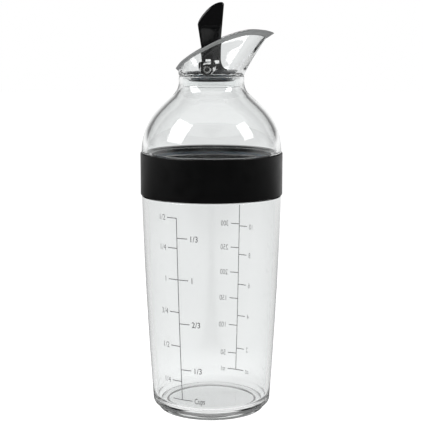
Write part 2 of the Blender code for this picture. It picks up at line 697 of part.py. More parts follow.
def make_lever(material):
    stem_foot = PIVOT.z + STEM_FOOT_RISE
    foot = [(x, y, stem_foot) for x, y, z in blade_ring(0)]
    rings = [foot] + [blade_ring(level / BLADE_LEVELS) for level in range(BLADE_LEVELS + 1)]
    rings.append(blade_ring(1, BLADE_EDGE / 3, BLADE_EDGE * 2 / 3))
    for shrink in (1, *BLADE_TOP_SHARES):
        rings.append(blade_ring(1, BLADE_EDGE, BLADE_EDGE, shrink))
    lever = skin("lever", rings, material)
    combine(lever, rod("lever_hub", HUB_RADIUS, -HUB_HALF_WIDTH, HUB_HALF_WIDTH, material), "UNION")
    combine(lever, make_tail(material), "UNION")
    peg_low = plate_top(PEG_PLACE) - PEG_DEPTH
    combine(lever, peg("lever_peg", PEG_RADIUS, peg_low, PIVOT.z + STEM_FOOT_RISE, material), "UNION")
    bore_half = HUB_HALF_WIDTH + OVERRUN
    combine(lever, rod("lever_bore", PIN_RADIUS + PIN_GAP, -bore_half, bore_half, material), "DIFFERENCE")
    windows = (
        ("rear_window", WINDOW_REAR_SIZE, WINDOW_REAR_PLACE),
        ("front_window", WINDOW_FRONT_SIZE, WINDOW_FRONT_PLACE),
    )
    for name, (width, height), (x, rise) in windows:
        outline = [
            (x - width / 2, PIVOT.z + rise - height / 2),
            (x + width / 2, PIVOT.z + rise - height / 2),
            (x + width / 2, PIVOT.z + rise + height / 2),
            (x - width / 2, PIVOT.z + rise + height / 2),
        ]
        half = STEM_HALF_WIDTH + OVERRUN
        combine(lever, plank(name, outline, -half, half, material), "DIFFERENCE")
    return lever


def make_tail(material):
    """The web that runs from the stem's front down onto the plate."""
    toe_height = plate_top(TAIL_REACH) + GAP
    outline = [(TAIL_START, TAIL_TOP), (STEM_FRONT, TAIL_TOP)]
    for step in range(1, TAIL_STEPS + 1):
        share = step / TAIL_STEPS
        x = STEM_FRONT + (TAIL_REACH - STEM_FRONT) * (1 - cos(share * pi / 2))
        z = TAIL_TOP + (toe_height + TAIL_TOE - TAIL_TOP) * sin(share * pi / 2)
        outline.append((x, z))
    for step in range(TAIL_STEPS + 1):
        x = TAIL_REACH + (TAIL_START - TAIL_REACH) * step / TAIL_STEPS
        outline.append((x, plate_top(x) + GAP))
    return plank("lever_tail", outline, -TAIL_HALF_WIDTH, TAIL_HALF_WIDTH, material)


def build():
    clear_scene()
    clear = make_material("clear plastic", (0.93, 0.95, 0.95), 0.03, transmission=1.0)
    band_black = make_material("soft black grip", (0.012, 0.012, 0.013), 0.5)
    gloss_black = make_material("gloss black plastic", (0.008, 0.008, 0.009), 0.15)
    plate_grey = make_material("smoke grey plastic", (0.05, 0.055, 0.06), 0.25)
    silicone = make_material("grey silicone", (0.2, 0.24, 0.27), 0.45)
    steel = make_material("pin steel", (0.62, 0.62, 0.6), 0.25, metallic=1.0)

    container = make_bottle(clear)
    gasket = make_gasket(silicone)
    lid_pieces = [make_dome(clear), make_band(band_black), make_spout(clear), make_pin(steel)]
    stopper_pieces = [make_lever(gloss_black), make_plate(plate_grey), make_seal(silicone)]

    lid_place = (0, 0, SHOULDER_HEIGHT)
    for item in lid_pieces + [gasket]:
        set_origin(item, lid_place)
    for item in stopper_pieces:
        set_origin(item, PIVOT)
    lid_axis = parent_to_axis("lid_axis", lid_place, lid_pieces)
    stopper_axis = parent_to_axis("stopper_axis", PIVOT, stopper_pieces)
    stopper_axis.parent = lid_axis
    stopper_axis.matrix_parent_inverse = Matrix.Translation(-Vector(lid_place))
    return container


build()
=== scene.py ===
"""Looks of an oil and vinegar dispenser: clear plastic, soft black grip, gloss lever.

Each solid of the frame is replaced by a finer piece of the same size, with its screw
thread, printed scales and materials. Lengths are in metres, +Z is up, the spout pours
towards +X and the camera looks along +Y.
"""
from functools import reduce
from math import asin, atan2, ceil, cos, pi, radians, sin, tan

import bpy
import bmesh
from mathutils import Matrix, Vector


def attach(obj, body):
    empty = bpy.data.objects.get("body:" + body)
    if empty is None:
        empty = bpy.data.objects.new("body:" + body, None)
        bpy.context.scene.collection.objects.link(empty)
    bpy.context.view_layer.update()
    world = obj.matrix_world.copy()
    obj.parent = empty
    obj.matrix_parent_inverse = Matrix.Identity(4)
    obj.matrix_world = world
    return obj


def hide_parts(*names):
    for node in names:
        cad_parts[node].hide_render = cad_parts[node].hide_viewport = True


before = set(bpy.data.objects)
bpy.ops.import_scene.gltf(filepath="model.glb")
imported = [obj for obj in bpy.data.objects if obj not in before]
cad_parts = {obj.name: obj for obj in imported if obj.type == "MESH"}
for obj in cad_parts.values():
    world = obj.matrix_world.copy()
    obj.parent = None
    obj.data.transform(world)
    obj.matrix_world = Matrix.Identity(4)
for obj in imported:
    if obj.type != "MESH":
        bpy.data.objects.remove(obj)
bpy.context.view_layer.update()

MM = 0.001

# Fineness of the meshes
SIDES = 192
PIN_SIDES = 64
ARC_STEP = radians(7)
SMOOTH_ANGLE = radians(32)
MERGE = 0.0005 * MM
# The middle part of a noise's values, over which a roughness spreads
NOISE_SPREAD = (0.3, 0.7)
# Corners of a rectangle from its middle, in half widths and half heights
CORNERS = ((-1, -1), (1, -1), (1, 1), (-1, 1))

# Clearances between pieces
GAP = 0.3 * MM
PIN_GAP = 0.25 * MM
OVERRUN = 1.0 * MM

# Bottle: a tapered, slightly bellied cup with a ring foot, a stepped shoulder and a neck
BOTTLE_WALL = 2.2 * MM
FOOT_RADIUS = 28.9 * MM
FOOT_RING_WIDTH = 4.1 * MM
FOOT_RECESS = 1.2 * MM
FOOT_CHAMFER = 1.0 * MM
FOOT_HEIGHT = 1.5 * MM
FOOT_DRAFT = 0.3 * MM
HEEL_STEP = 0.5 * MM
HEEL_HEIGHT = 3.7 * MM
HEEL_RADIUS = 32.15 * MM
HEEL_FILLET = 3.2 * MM
BODY_LOW = 7.5 * MM
BODY_LOW_RADIUS = 32.35 * MM
BODY_BELLY = 0.6 * MM
BODY_RINGS = 30
SHOULDER_HEIGHT = 121.2 * MM
SHOULDER_INSET = 0.7 * MM
SHOULDER_FILLET = 0.9 * MM
SHOULDER_STEP_FILLET = 0.5 * MM
SHOULDER_SLOPE_HEIGHT = 2.1 * MM
SHOULDER_SLOPE_FILLET = 1.1 * MM
FLOOR_HEIGHT = 4.5 * MM
FLOOR_FILLET = 4.5 * MM
FLOOR_RING_SHARES = (0.9, 0.7, 0.45, 0.2, 0.02)
NECK_RADIUS = 33.9 * MM
NECK_WALL = 2.0 * MM
NECK_LENGTH = 14.8 * MM
NECK_FILLET = 0.7 * MM
NECK_LIP_FILLET = 0.6 * MM

# Screw thread: two turns on the neck, and the lid's own between them
THREAD_PITCH = 5.0 * MM
THREAD_TURNS = 2.0
THREAD_RISE = 0.75 * MM
THREAD_FOOT = 1.0 * MM
THREAD_CREST = 0.35 * MM
THREAD_START = 123.6 * MM
THREAD_FADE = 0.06
THREAD_RING_STEP = 0.25 * MM

# Gasket between the bottle's lip and the lid's ledge
GASKET_THICKNESS = 1.7 * MM
GASKET_OVERHANG = 0.4 * MM
GASKET_FILLET = 0.4 * MM

# Domed lid: a threaded skirt, a ledge, a domed roof and a short neck
SKIRT_CLEARANCE = 1.0 * MM
SKIRT_WALL = 1.7 * MM
SKIRT_FILLET = 0.3 * MM
LEDGE_THICKNESS = 2.0 * MM
LEDGE_OVERHANG = 0.4 * MM
DOME_INSET = 0.65 * MM
DOME_WALL = 2.4 * MM
DOME_EAVES = 15.0 * MM
DOME_SLOPE = radians(42.5)
MOUTH_RADIUS = 17.5 * MM
MOUTH_WALL = 1.9 * MM
MOUTH_FILLET = 9.6 * MM
MOUTH_LENGTH = 7.25 * MM
MOUTH_EDGE = 0.4 * MM

# Grip band over the skirt, with a lip under its lower edge and an apron round the shoulder
BAND_HEIGHT = 22.7 * MM
BAND_WALL = 1.5 * MM
BAND_FILLET = 0.5 * MM
BAND_LIP = 0.5 * MM
BAND_LIP_CLEARANCE = 0.2 * MM
BAND_APRON = 3.0 * MM

# Pivot: a steel pin across the spout, behind the axis and above the seat
PIVOT_BACK = 2.3 * MM
PIVOT_RISE = 3.9 * MM
PIN_RADIUS = 1.8 * MM
PIN_CHAMFER = 0.25 * MM
PIN_DIMPLE_RADIUS = 1.15 * MM
PIN_DIMPLE_DEPTH = 0.8 * MM
HUB_WALL = 0.95 * MM
HUB_HALF_WIDTH = 14.9 * MM
HUB_CHAMFER = 0.3 * MM
PIN_END = 0.9 * MM

# Stopper: a domed plate that holds a tapered silicone seal
SEAL_RADIUS = 13.9 * MM
SEAL_RISE = 0.5 * MM
SEAL_HEIGHT = 2.4 * MM
SEAL_DEPTH = 2.05 * MM
SEAL_FILLET = 0.3 * MM
SEAL_GROOVE = 0.18 * MM
PLATE_RADIUS = 13.7 * MM
PLATE_EDGE = 0.5 * MM
PLATE_CROWN = 1.9 * MM
PLATE_CROWN_RINGS = 16
PLATE_FLANGE = 0.6 * MM
PLATE_FLANGE_WIDTH = 0.8 * MM

# Pouring spout: a skirt in the lid's mouth, a conical seat and a flared wall with a drip edge
SPOUT_SIDES = 160
SPOUT_FLANGE_RADIUS = 17.6 * MM
SPOUT_SKIRT_LENGTH = 6.4 * MM
SPOUT_CHAMFER = 0.4 * MM
SPOUT_WALL = 2.2 * MM
SPOUT_FOOT_RISE = 2.6 * MM
SEAT_RISE = 0.5 * MM
LIP_REACH = 33.3 * MM
REAR_REACH = 19.1 * MM
RIM_HALF_WIDTH = 22.0 * MM
RIM_FOOT = 4.0 * MM
RIM_RISE = 20.2 * MM
RIM_WIDTH = 2.4 * MM
RIM_CANT = 0.4 * MM
RIM_ROUND = 0.3 * MM
RIM_ROUND_STEPS = 4
RIM_NUDGE = radians(0.5)
DRIP_REACH = 1.3 * MM
DRIP_DROP = 1.5 * MM
LIP_DRIP_REACH = 4.1 * MM
LIP_DRIP_DROP = 3.0 * MM
DRIP_LEVEL_SHARES = (0.06, 0.3, 0.65, 0.94)
EGG_SHARE = 0.32
LEAN_SHARE = 0.74
SIDE_LEAN_SHARE = 0.3
WALL_LEVELS = 18
BEND_SHARE = 0.985
# Height of the rim from the lip round to the rear, at equal turns
RIM_RISE_SHARES = (0.92, 0.975, 0.98, 0.795, 0.505, 0.205, 0)

# Cradles inside the spout: a U-shaped pad on each side for the hub and the pin
CRADLE_FACE = 14.2 * MM
CRADLE_BACK = 16.2 * MM
CRADLE_BACK_TOP = 16.9 * MM
CRADLE_LEG = 0.9 * MM
CRADLE_TOP = 4.2 * MM
CRADLE_ROOT = 2.2 * MM
CRADLE_MOUTH = 8.0 * MM

# Lever: a stem above the hub, a flared thumb blade and a tail on the plate
STEM_REAR = 5.5 * MM
STEM_FRONT = 4.7 * MM
STEM_HALF_WIDTH = 4.2 * MM
STEM_FOOT_RISE = 1.4 * MM
STEM_RISE = 11.2 * MM
STEM_CORNER = 1.4 * MM
BLADE_REAR = 7.3 * MM
BLADE_FRONT = 6.6 * MM
BLADE_HALF_WIDTH = 7.2 * MM
BLADE_REAR_LENGTH = 11.8 * MM
BLADE_FRONT_LENGTH = 22.2 * MM
BLADE_BELLY = 3.0 * MM
BLADE_EDGE = 1.4 * MM
BLADE_SIDE_STEPS = 7
BLADE_LEVELS = 16
BLADE_EDGE_STEPS = 5
BLADE_TOP_SHARES = (0.85, 0.65, 0.4, 0.15, 0.01)
TAIL_REACH = 8.3 * MM
TAIL_HALF_WIDTH = 3.0 * MM
TAIL_START = 2.1 * MM
TAIL_RISE = 5.8 * MM
TAIL_TOE = 0.5 * MM
TAIL_STEPS = 16
PEG_RADIUS = 1.3 * MM
PEG_PLACE = 4.6 * MM
PEG_DEPTH = 3.2 * MM
# Windows in the foot: name, width and height, and the middle's place from the pivot
WINDOWS = (
    ("rear_window", (2.8 * MM, 1.4 * MM), (-2.0 * MM, 4.2 * MM)),
    ("front_window", (2.4 * MM, 1.8 * MM), (2.7 * MM, 3.4 * MM)),
)

# Printed scales: where each line stands round the wall, from the front, at the wall's foot
# and at its top, and the heights of its ends. The cup scale's line ends at its top mark.
CUP_TURNS = (radians(-28.3), radians(-29.1))
CUP_LINE_LOW = 11.4 * MM
FAR_TURNS = (radians(152.9), radians(153.3))
FAR_LINE = (11.5 * MM, 107.6 * MM)
# Height of a mark: a first value, one for each cup and one for its square, as the wall widens
CUP_MARKS = (1.35 * MM, 83.1 * MM, -7.0 * MM)
FAR_MARKS = (4.0 * MM, 81.8 * MM, -7.0 * MM)
CUP_VOLUME = 236.6
OUNCE_VOLUME = 29.574
INK_WIDTH = 0.42 * MM
INK_LIFT = 0.02 * MM
INK_THICKNESS = 0.03 * MM
CUP_TICK = 5.9 * MM
FAR_TICK = 5.4 * MM
DIGIT_HEIGHT = 3.1 * MM
CUP_DIGIT_NARROW = 0.86
FAR_DIGIT_NARROW = 0.72
WORD_NARROW = 0.62
DIGIT_BOLD = 0.02 * MM
DIGIT_LIGHT = -0.04 * MM
FONT_CAP_SHARE = 0.7
CUP_LABEL_SPACE = 1.1 * MM
FAR_LABEL_SPACE = 1.5 * MM
TICK_STEPS = 6
DIGIT_CURVE_STEPS = 4
QUARTER_CUP_LABELS = ("1/4", "1/2", "3/4", "1", "1/4", "1/2")
THIRD_CUP_LABELS = ("1/3", "2/3", "1", "1/3")
MILLILITRE_MARKS = range(50, 301, 50)
OUNCE_MARKS = range(2, 11, 2)

# Camera
CAMERA_HEIGHT = 0.2103
CAMERA_BACK = 0.642
CAMERA_TILT = radians(81)
CAMERA_LENS = 101.5
CAMERA_SENSOR = 36

# Floor. It is white to the camera. Rays that come through clear plastic, and rays off a
# surface, find it darker in front, as with black cards beside a product. A strength runs
# along an axis from one (place, strength) to another.
FLOOR_REACH = 3.0
FLOOR_DROP = 0.05 * MM
FLOOR_GREY = 0.3
FLOOR_THROUGH = (
    ("Y", (-0.95, 0.1), (-0.6, 1.0)),
    ("Y", (-0.15, 0.62), (0.0, 0.88)),
    ("Y", (0.0, 1.0), (0.12, 0.82)),
    ("Y", (0.25, 1.0), (0.5, 1.06)),
    ("Y", (0.75, 1.0), (1.05, 1.13)),
)
# A narrow black card in front, dark only where all three strengths are low
FLOOR_CARD = (
    ("X", (-0.07, 1.0), (-0.03, 0.05)),
    ("X", (0.03, 0.05), (0.07, 1.0)),
    ("Y", (-0.16, 0.05), (-0.1, 1.0)),
)
FLOOR_MIRRORED = (
    ("Y", (0.3, 0.09), (0.85, 0.85)),
    ("X", (-0.3, 0.5), (0.1, 1.0)),
)

# World. It is white to the camera. Other rays find it bright at the horizon, and a little
# above it ahead, behind and to the sides, and dark overhead. A ramp runs as on the floor,
# along a direction's component, and the last two values are the dark and bright strengths.
WORLD_CARDS = ((0.22, 1.0), (0.5, 0.0))
WORLD_LOW = ((0.1, 1.0), (0.4, 0.0))
WORLD_HORIZON = ((-0.02, 1.0), (0.1, 0.0))
WORLD_THROUGH = ((-0.8, 0.45), (-0.3, 1.0), 0.2, 0.97)
WORLD_MIRRORED = ((-0.6, 0.06), (0.3, 1.0), 0.12, 0.95)

# Softboxes: name, place, width and height, and power in watts
SOFTBOXES = (
    ("left_softbox", (-0.71, -0.33, 0.67), (0.5, 0.6), 8),
    ("right_softbox", (0.75, -0.3, 0.69), (0.33, 0.44), 4),
)
SOFTBOX_AIM = Vector((0, 0, 0.12))
# A ray crosses many clear walls, and mirrors inside them
LIGHT_BOUNCES = 32
GLOSS_BOUNCES = 24

# Heights and radii that follow from the ones above
NECK_TOP = SHOULDER_HEIGHT + NECK_LENGTH
NECK_BORE = NECK_RADIUS - NECK_WALL
GASKET_LOW = NECK_TOP + GAP
LEDGE_LOW = GASKET_LOW + GASKET_THICKNESS + GAP
GASKET_OUTER = NECK_RADIUS + GASKET_OVERHANG
SKIRT_BORE = NECK_RADIUS + SKIRT_CLEARANCE
SKIRT_RADIUS = SKIRT_BORE + SKIRT_WALL
LEDGE_RADIUS = NECK_BORE + LEDGE_OVERHANG
BAND_LIP_LOW = SHOULDER_HEIGHT + GAP
BODY_TOP = SHOULDER_HEIGHT - BAND_APRON
BAND_LOW = BODY_TOP + GAP
BAND_TOP = BAND_LOW + BAND_HEIGHT
BAND_BORE = SKIRT_RADIUS + GAP
BAND_RADIUS = BAND_BORE + BAND_WALL
BODY_TOP_RADIUS = BAND_RADIUS - SHOULDER_INSET
SHOULDER_RADIUS = BAND_BORE - GAP
DOME_RADIUS = BAND_RADIUS - DOME_INSET
SKIRT_LOW = BAND_LIP_LOW + BAND_LIP + GAP
DOME_LOW = BAND_TOP + GAP
DOME_EAVES_HEIGHT = DOME_LOW + DOME_EAVES
MOUTH_ROOT = DOME_EAVES_HEIGHT + (DOME_RADIUS - MOUTH_RADIUS) * tan(DOME_SLOPE)
MOUTH_TOP = MOUTH_ROOT + MOUTH_LENGTH
MOUTH_BORE = MOUTH_RADIUS - MOUTH_WALL
PIVOT = Vector((-PIVOT_BACK, 0, MOUTH_TOP + PIVOT_RISE))
SEAL_TOP = MOUTH_TOP + SEAL_RISE
RIM_LOW = MOUTH_TOP + RIM_FOOT
STEM_HEIGHT = PIVOT.z + STEM_RISE
BLADE_REAR_TOP = STEM_HEIGHT + BLADE_REAR_LENGTH
BLADE_FRONT_TOP = STEM_HEIGHT + BLADE_FRONT_LENGTH
TAIL_TOP = PIVOT.z + TAIL_RISE
HUB_RADIUS = PIN_RADIUS + PIN_GAP + HUB_WALL
SEAL_LOW = SEAL_TOP - SEAL_HEIGHT
SEAT_TAPER = (PIVOT.z - SEAL_TOP + SEAL_HEIGHT / 2) / SEAL_RADIUS
PLATE_CORE = SEAL_RADIUS - SEAL_DEPTH - GAP
PLATE_LOW = SEAL_LOW - GAP - PLATE_FLANGE
PLATE_RIM_LOW = SEAL_TOP + GAP
SPOUT_FLANGE_LOW = MOUTH_TOP + GAP
SPOUT_SKIRT_RADIUS = MOUTH_BORE - GAP
SPOUT_SKIRT_LOW = SPOUT_FLANGE_LOW - SPOUT_SKIRT_LENGTH
SPOUT_MIDDLE = (LIP_REACH - REAR_REACH) / 2
SPOUT_HALF_LENGTH = (LIP_REACH + REAR_REACH) / 2


# Shaping helpers

def mix(first, last, share):
    return first + (last - first) * share


def rounded(corners, closed=True):
    """Points of an outline whose corners are (x, y, fillet radius)."""
    points = []
    count = len(corners)
    for index, (x, y, fillet) in enumerate(corners):
        corner = Vector((x, y))
        at_end = not closed and index in (0, count - 1)
        if not fillet or at_end:
            points.append(corner)
            continue
        before = (Vector(corners[index - 1][:2]) - corner).normalized()
        after = (Vector(corners[(index + 1) % count][:2]) - corner).normalized()
        half = before.angle(after) / 2
        centre = corner + (before + after).normalized() * (fillet / sin(half))
        first = corner + before * (fillet / tan(half)) - centre
        last = corner + after * (fillet / tan(half)) - centre
        start = atan2(first.y, first.x)
        sweep = (atan2(last.y, last.x) - start + pi) % (2 * pi) - pi
        steps = max(2, ceil(abs(sweep) / ARC_STEP))
        for step in range(steps + 1):
            angle = start + sweep * step / steps
            points.append(centre + Vector((cos(angle), sin(angle))) * fillet)
    return points


def bent(corners):
    """The rounded corners between the first and the last, which only lead in and out."""
    return rounded(corners, closed=False)[1:-1]


def stretch(start, end, step):
    """Heights from start to end, evenly spaced at about a step, ends left out."""
    count = ceil(abs(end - start) / step)
    return [mix(start, end, index / count) for index in range(1, count)]


def shade(mesh):
    mesh.shade_smooth()
    mesh.set_sharp_from_angle(angle=SMOOTH_ANGLE)


def add_object(name, data):
    item = bpy.data.objects.new(name, data)
    bpy.context.scene.collection.objects.link(item)
    return item


def bridge(grid, rings, closed=False):
    """Faces from one ring of points to the next; an open stack of rings gets flat caps."""
    loops = [[grid.verts.new(point) for point in ring] for ring in rings]
    size = len(rings[0])
    uppers = loops[1:] + loops[:1] if closed else loops[1:]
    for lower, upper in zip(loops, uppers):
        for side in range(size):
            after = (side + 1) % size
            grid.faces.new((lower[side], lower[after], upper[after], upper[side]))
    if not closed:
        grid.faces.new(loops[0])
        grid.faces.new(loops[-1])


def close(name, grid, material):
    """An object of a finished grid of faces."""
    bmesh.ops.recalc_face_normals(grid, faces=grid.faces)
    mesh = bpy.data.meshes.new(name)
    grid.to_mesh(mesh)
    grid.free()
    mesh.materials.append(material)
    return add_object(name, mesh)


def skin(name, rings, material, closed=False):
    """A smooth solid skinned over rings of points."""
    grid = bmesh.new()
    bridge(grid, rings, closed)
    bmesh.ops.remove_doubles(grid, verts=grid.verts, dist=MERGE)
    item = close(name, grid, material)
    shade(item.data)
    return item


def turns_of(sides):
    return [2 * pi * side / sides for side in range(sides)]


def circle(radius, height, sides=SIDES):
    return [(radius * cos(turn), radius * sin(turn), height) for turn in turns_of(sides)]


def rings_of(outline, sides=SIDES):
    return [circle(radius, height, sides) for radius, height in outline]


def turned(name, outline, material, closed=False):
    """A solid turned about Z from an outline of (radius, height) points."""
    return skin(name, rings_of(outline), material, closed)


def plank(name, outline, near, far, material):
    """An outline in the XZ plane, made solid from y = near to y = far."""
    rings = [[(x, y, z) for x, z in outline] for y in (near, far)]
    return skin(name, rings, material)


def rod(name, far_half, material):
    """A solid turned about the pivot's axis, its far half given as (radius, y) points."""
    near_half = [(radius, -across) for radius, across in reversed(far_half)]
    rings = []
    for radius, across in far_half + near_half:
        ring = circle(radius, across, PIN_SIDES)
        rings.append([(PIVOT.x + x, y, PIVOT.z + z) for x, z, y in ring])
    return skin(name, rings, material)


def merge(item, steps):
    """Give an item its unions and cuts, each a (helper shape, operation), and shade it."""
    for tool, operation in steps:
        modifier = item.modifiers.new(tool.name, "BOOLEAN")
        modifier.operation = operation
        modifier.object = tool
    bpy.context.view_layer.update()
    shaped = item.evaluated_get(bpy.context.evaluated_depsgraph_get())
    mesh = bpy.data.meshes.new_from_object(shaped)
    item.modifiers.clear()
    item.data = mesh
    for tool, operation in steps:
        bpy.data.objects.remove(tool, do_unlink=True)
    shade(mesh)


def dress(piece, body, node):
    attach(piece, body)
    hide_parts(node)


# Materials

def tree_of(owner):
    owner.use_nodes = True
    return owner.node_tree


def plug(tree, node, inputs):
    """Set a node's inputs to values, or link them to other nodes' outputs."""
    for key, value in inputs.items():
        if isinstance(value, bpy.types.NodeSocket):
            tree.links.new(value, node.inputs[key])
        else:
            node.inputs[key].default_value = value


def add_node(tree, kind, inputs):
    node = tree.nodes.new(kind)
    plug(tree, node, inputs)
    return node


def add_noise(tree, scale, detail=3.0, roughness=0.6):
    """Noise in the object's own coordinates, scale in waves per metre."""
    place = add_node(tree, "ShaderNodeTexCoord", {}).outputs["Object"]
    inputs = {"Vector": place, "Scale": scale, "Detail": detail, "Roughness": roughness}
    return add_node(tree, "ShaderNodeTexNoise", inputs).outputs["Fac"]


def add_math(tree, operation, first, second=0.0):
    node = add_node(tree, "ShaderNodeMath", {0: first, 1: second})
    node.operation = operation
    return node.outputs["Value"]


def add_ramp(tree, source, low, high, kind="LINEAR"):
    """A value that runs from one (place, value) to another with a source's."""
    ends = {"From Min": low[0], "To Min": low[1], "From Max": high[0], "To Max": high[1]}
    node = add_node(tree, "ShaderNodeMapRange", {"Value": source, **ends})
    node.interpolation_type = kind
    return node.outputs["Result"]


def add_choice(tree, flag, strength, others=1.0):
    """A strength for rays that have a flag, and another for all the others."""
    return add_ramp(tree, flag, (0, others), (1, strength))


def surface(name, inputs, cloud, tints, roughness=None, bump=None, grain=None):
    """A material with a cloudy tint and roughness, and a bump of its grain or its cloud.

    Inputs are the shader's own, a noise is its scale, detail and roughness, and a bump is
    its height and strength.
    """
    material = bpy.data.materials.new(name)
    tree = tree_of(material)
    clouds = add_noise(tree, *cloud)
    tint = tree.nodes.new("ShaderNodeMix")
    tint.data_type = "RGBA"
    first, second = tints
    plug(tree, tint, {"Factor": clouds, "A": (*first, 1), "B": (*second, 1)})
    inputs = {**inputs, "Base Color": tint.outputs["Result"]}
    if roughness:
        inputs["Roughness"] = add_ramp(tree, clouds, *zip(NOISE_SPREAD, roughness))
    if bump:
        source = add_noise(tree, *grain) if grain else clouds
        height = {"Height": source, "Distance": bump[0], "Strength": bump[1]}
        inputs["Normal"] = add_node(tree, "ShaderNodeBump", height).outputs["Normal"]
    plug(tree, tree.nodes["Principled BSDF"], inputs)
    return material


def clear_material():
    """Clear copolyester: faint long ripples from moulding and a very slight cool tint."""
    return surface(
        "clear copolyester", {"Roughness": 0.0, "IOR": 1.53, "Transmission Weight": 1.0},
        cloud=(38, 1.0, 0.5), tints=((0.955, 0.968, 0.966), (0.97, 0.978, 0.978)),
        bump=(0.02 * MM, 1.0),
    )


def satin_material():
    """The drip edge: the same plastic, finely frosted, with a grey tint that is painted shade of
    the rim's edge.
    """
    return surface(
        "satin copolyester", {"IOR": 1.53, "Transmission Weight": 0.3}, cloud=(900,),
        # The grey tints paint the shade seen along the rim; the frost and grain are the finish's
        # own
        tints=((0.275, 0.283, 0.283), (0.345, 0.353, 0.353)), roughness=(0.38, 0.5),
        bump=(0.01 * MM, 0.5), grain=(6000, 2.0, 0.5),
    )


def grip_material():
    """Soft black rubber with a fine moulded grain."""
    return surface(
        "soft black rubber", {"IOR": 1.45, "Specular IOR Level": 0.25}, cloud=(160,),
        tints=((0.0018, 0.0018, 0.0019), (0.0034, 0.0034, 0.0035)), roughness=(0.28, 0.38),
        bump=(0.02 * MM, 0.5), grain=(5200,),
    )


def lever_material():
    """Gloss black plastic with faint flow waves."""
    return surface(
        "gloss black plastic", {"IOR": 1.5, "Specular IOR Level": 0.35}, cloud=(260, 3.0, 0.55),
        tints=((0.0025, 0.0025, 0.0028), (0.004, 0.004, 0.0044)), roughness=(0.05, 0.12),
        bump=(0.03 * MM, 0.6),
    )


def silicone_material():
    """Blue-grey silicone, slightly cloudy and satin."""
    return surface(
        "blue grey silicone", {"IOR": 1.41, "Subsurface Weight": 0.15, "Subsurface Scale": MM},
        cloud=(420,), tints=((0.12, 0.145, 0.17), (0.155, 0.185, 0.215)),
        roughness=(0.36, 0.5), bump=(0.01 * MM, 0.6), grain=(3800, 2.0, 0.5),
    )


def smoke_material():
    """Dark smoke-grey plastic of the stopper's plate."""
    return surface(
        "smoke grey plastic", {"IOR": 1.5}, cloud=(300,),
        tints=((0.035, 0.04, 0.046), (0.055, 0.06, 0.068)), roughness=(0.16, 0.3),
        bump=(0.03 * MM, 0.6),
    )


def steel_material(name, metallic, tints):
    """Steel with a fine, uneven grain: bright, or dark as painted shade for the pin's dimples."""
    return surface(
        name, {"Metallic": metallic}, cloud=(900,), tints=tints, roughness=(0.2, 0.34),
        bump=(0.01 * MM, 0.5),
    )


def ink_material():
    """Grey printed ink, a little thin in places."""
    return surface(
        "grey ink", {"Specular IOR Level": 0.3}, cloud=(1500,),
        tints=((0.075, 0.075, 0.08), (0.12, 0.12, 0.125)), roughness=(0.55, 0.7),
    )


# Bottle, with its thread

def body_radius(height):
    """Outer radius of the bottle's wall at a height."""
    share = (height - BODY_LOW) / (BODY_TOP - BODY_LOW)
    return mix(BODY_LOW_RADIUS, BODY_TOP_RADIUS, share) + 4 * BODY_BELLY * share * (1 - share)


def body_heights():
    """Heights of the bottle wall's rings, from the heel up to below the band's apron."""
    top = BODY_TOP - SHOULDER_SLOPE_HEIGHT
    return [mix(BODY_LOW, top, ring / BODY_RINGS) for ring in range(BODY_RINGS + 1)]


def ridge(turn, height, start):
    """How far the thread stands out of its wall, at a turn and a height."""
    climb = (height - start) / THREAD_PITCH - turn / (2 * pi)
    whole = round(climb)
    along = turn / (2 * pi) + whole
    fade = min(1, along / THREAD_FADE, (THREAD_TURNS - along) / THREAD_FADE)
    off = abs(climb - whole) * THREAD_PITCH
    flank = min(1, (THREAD_FOOT - off) / (THREAD_FOOT - THREAD_CREST))
    return THREAD_RISE * max(0, fade) * max(0, flank)


def threaded(radius, height, start, sign):
    """A ring of the threaded wall; the ridge stands outwards or inwards by the sign."""
    points = []
    for turn in turns_of(SIDES):
        reach = radius + sign * ridge(turn, height, start)
        points.append((reach * cos(turn), reach * sin(turn), height))
    return points


def disc_rings(radius, height):
    """Rings of a flat round face, from just inside its edge to its middle."""
    return [circle(radius * share, height) for share in FLOOR_RING_SHARES]


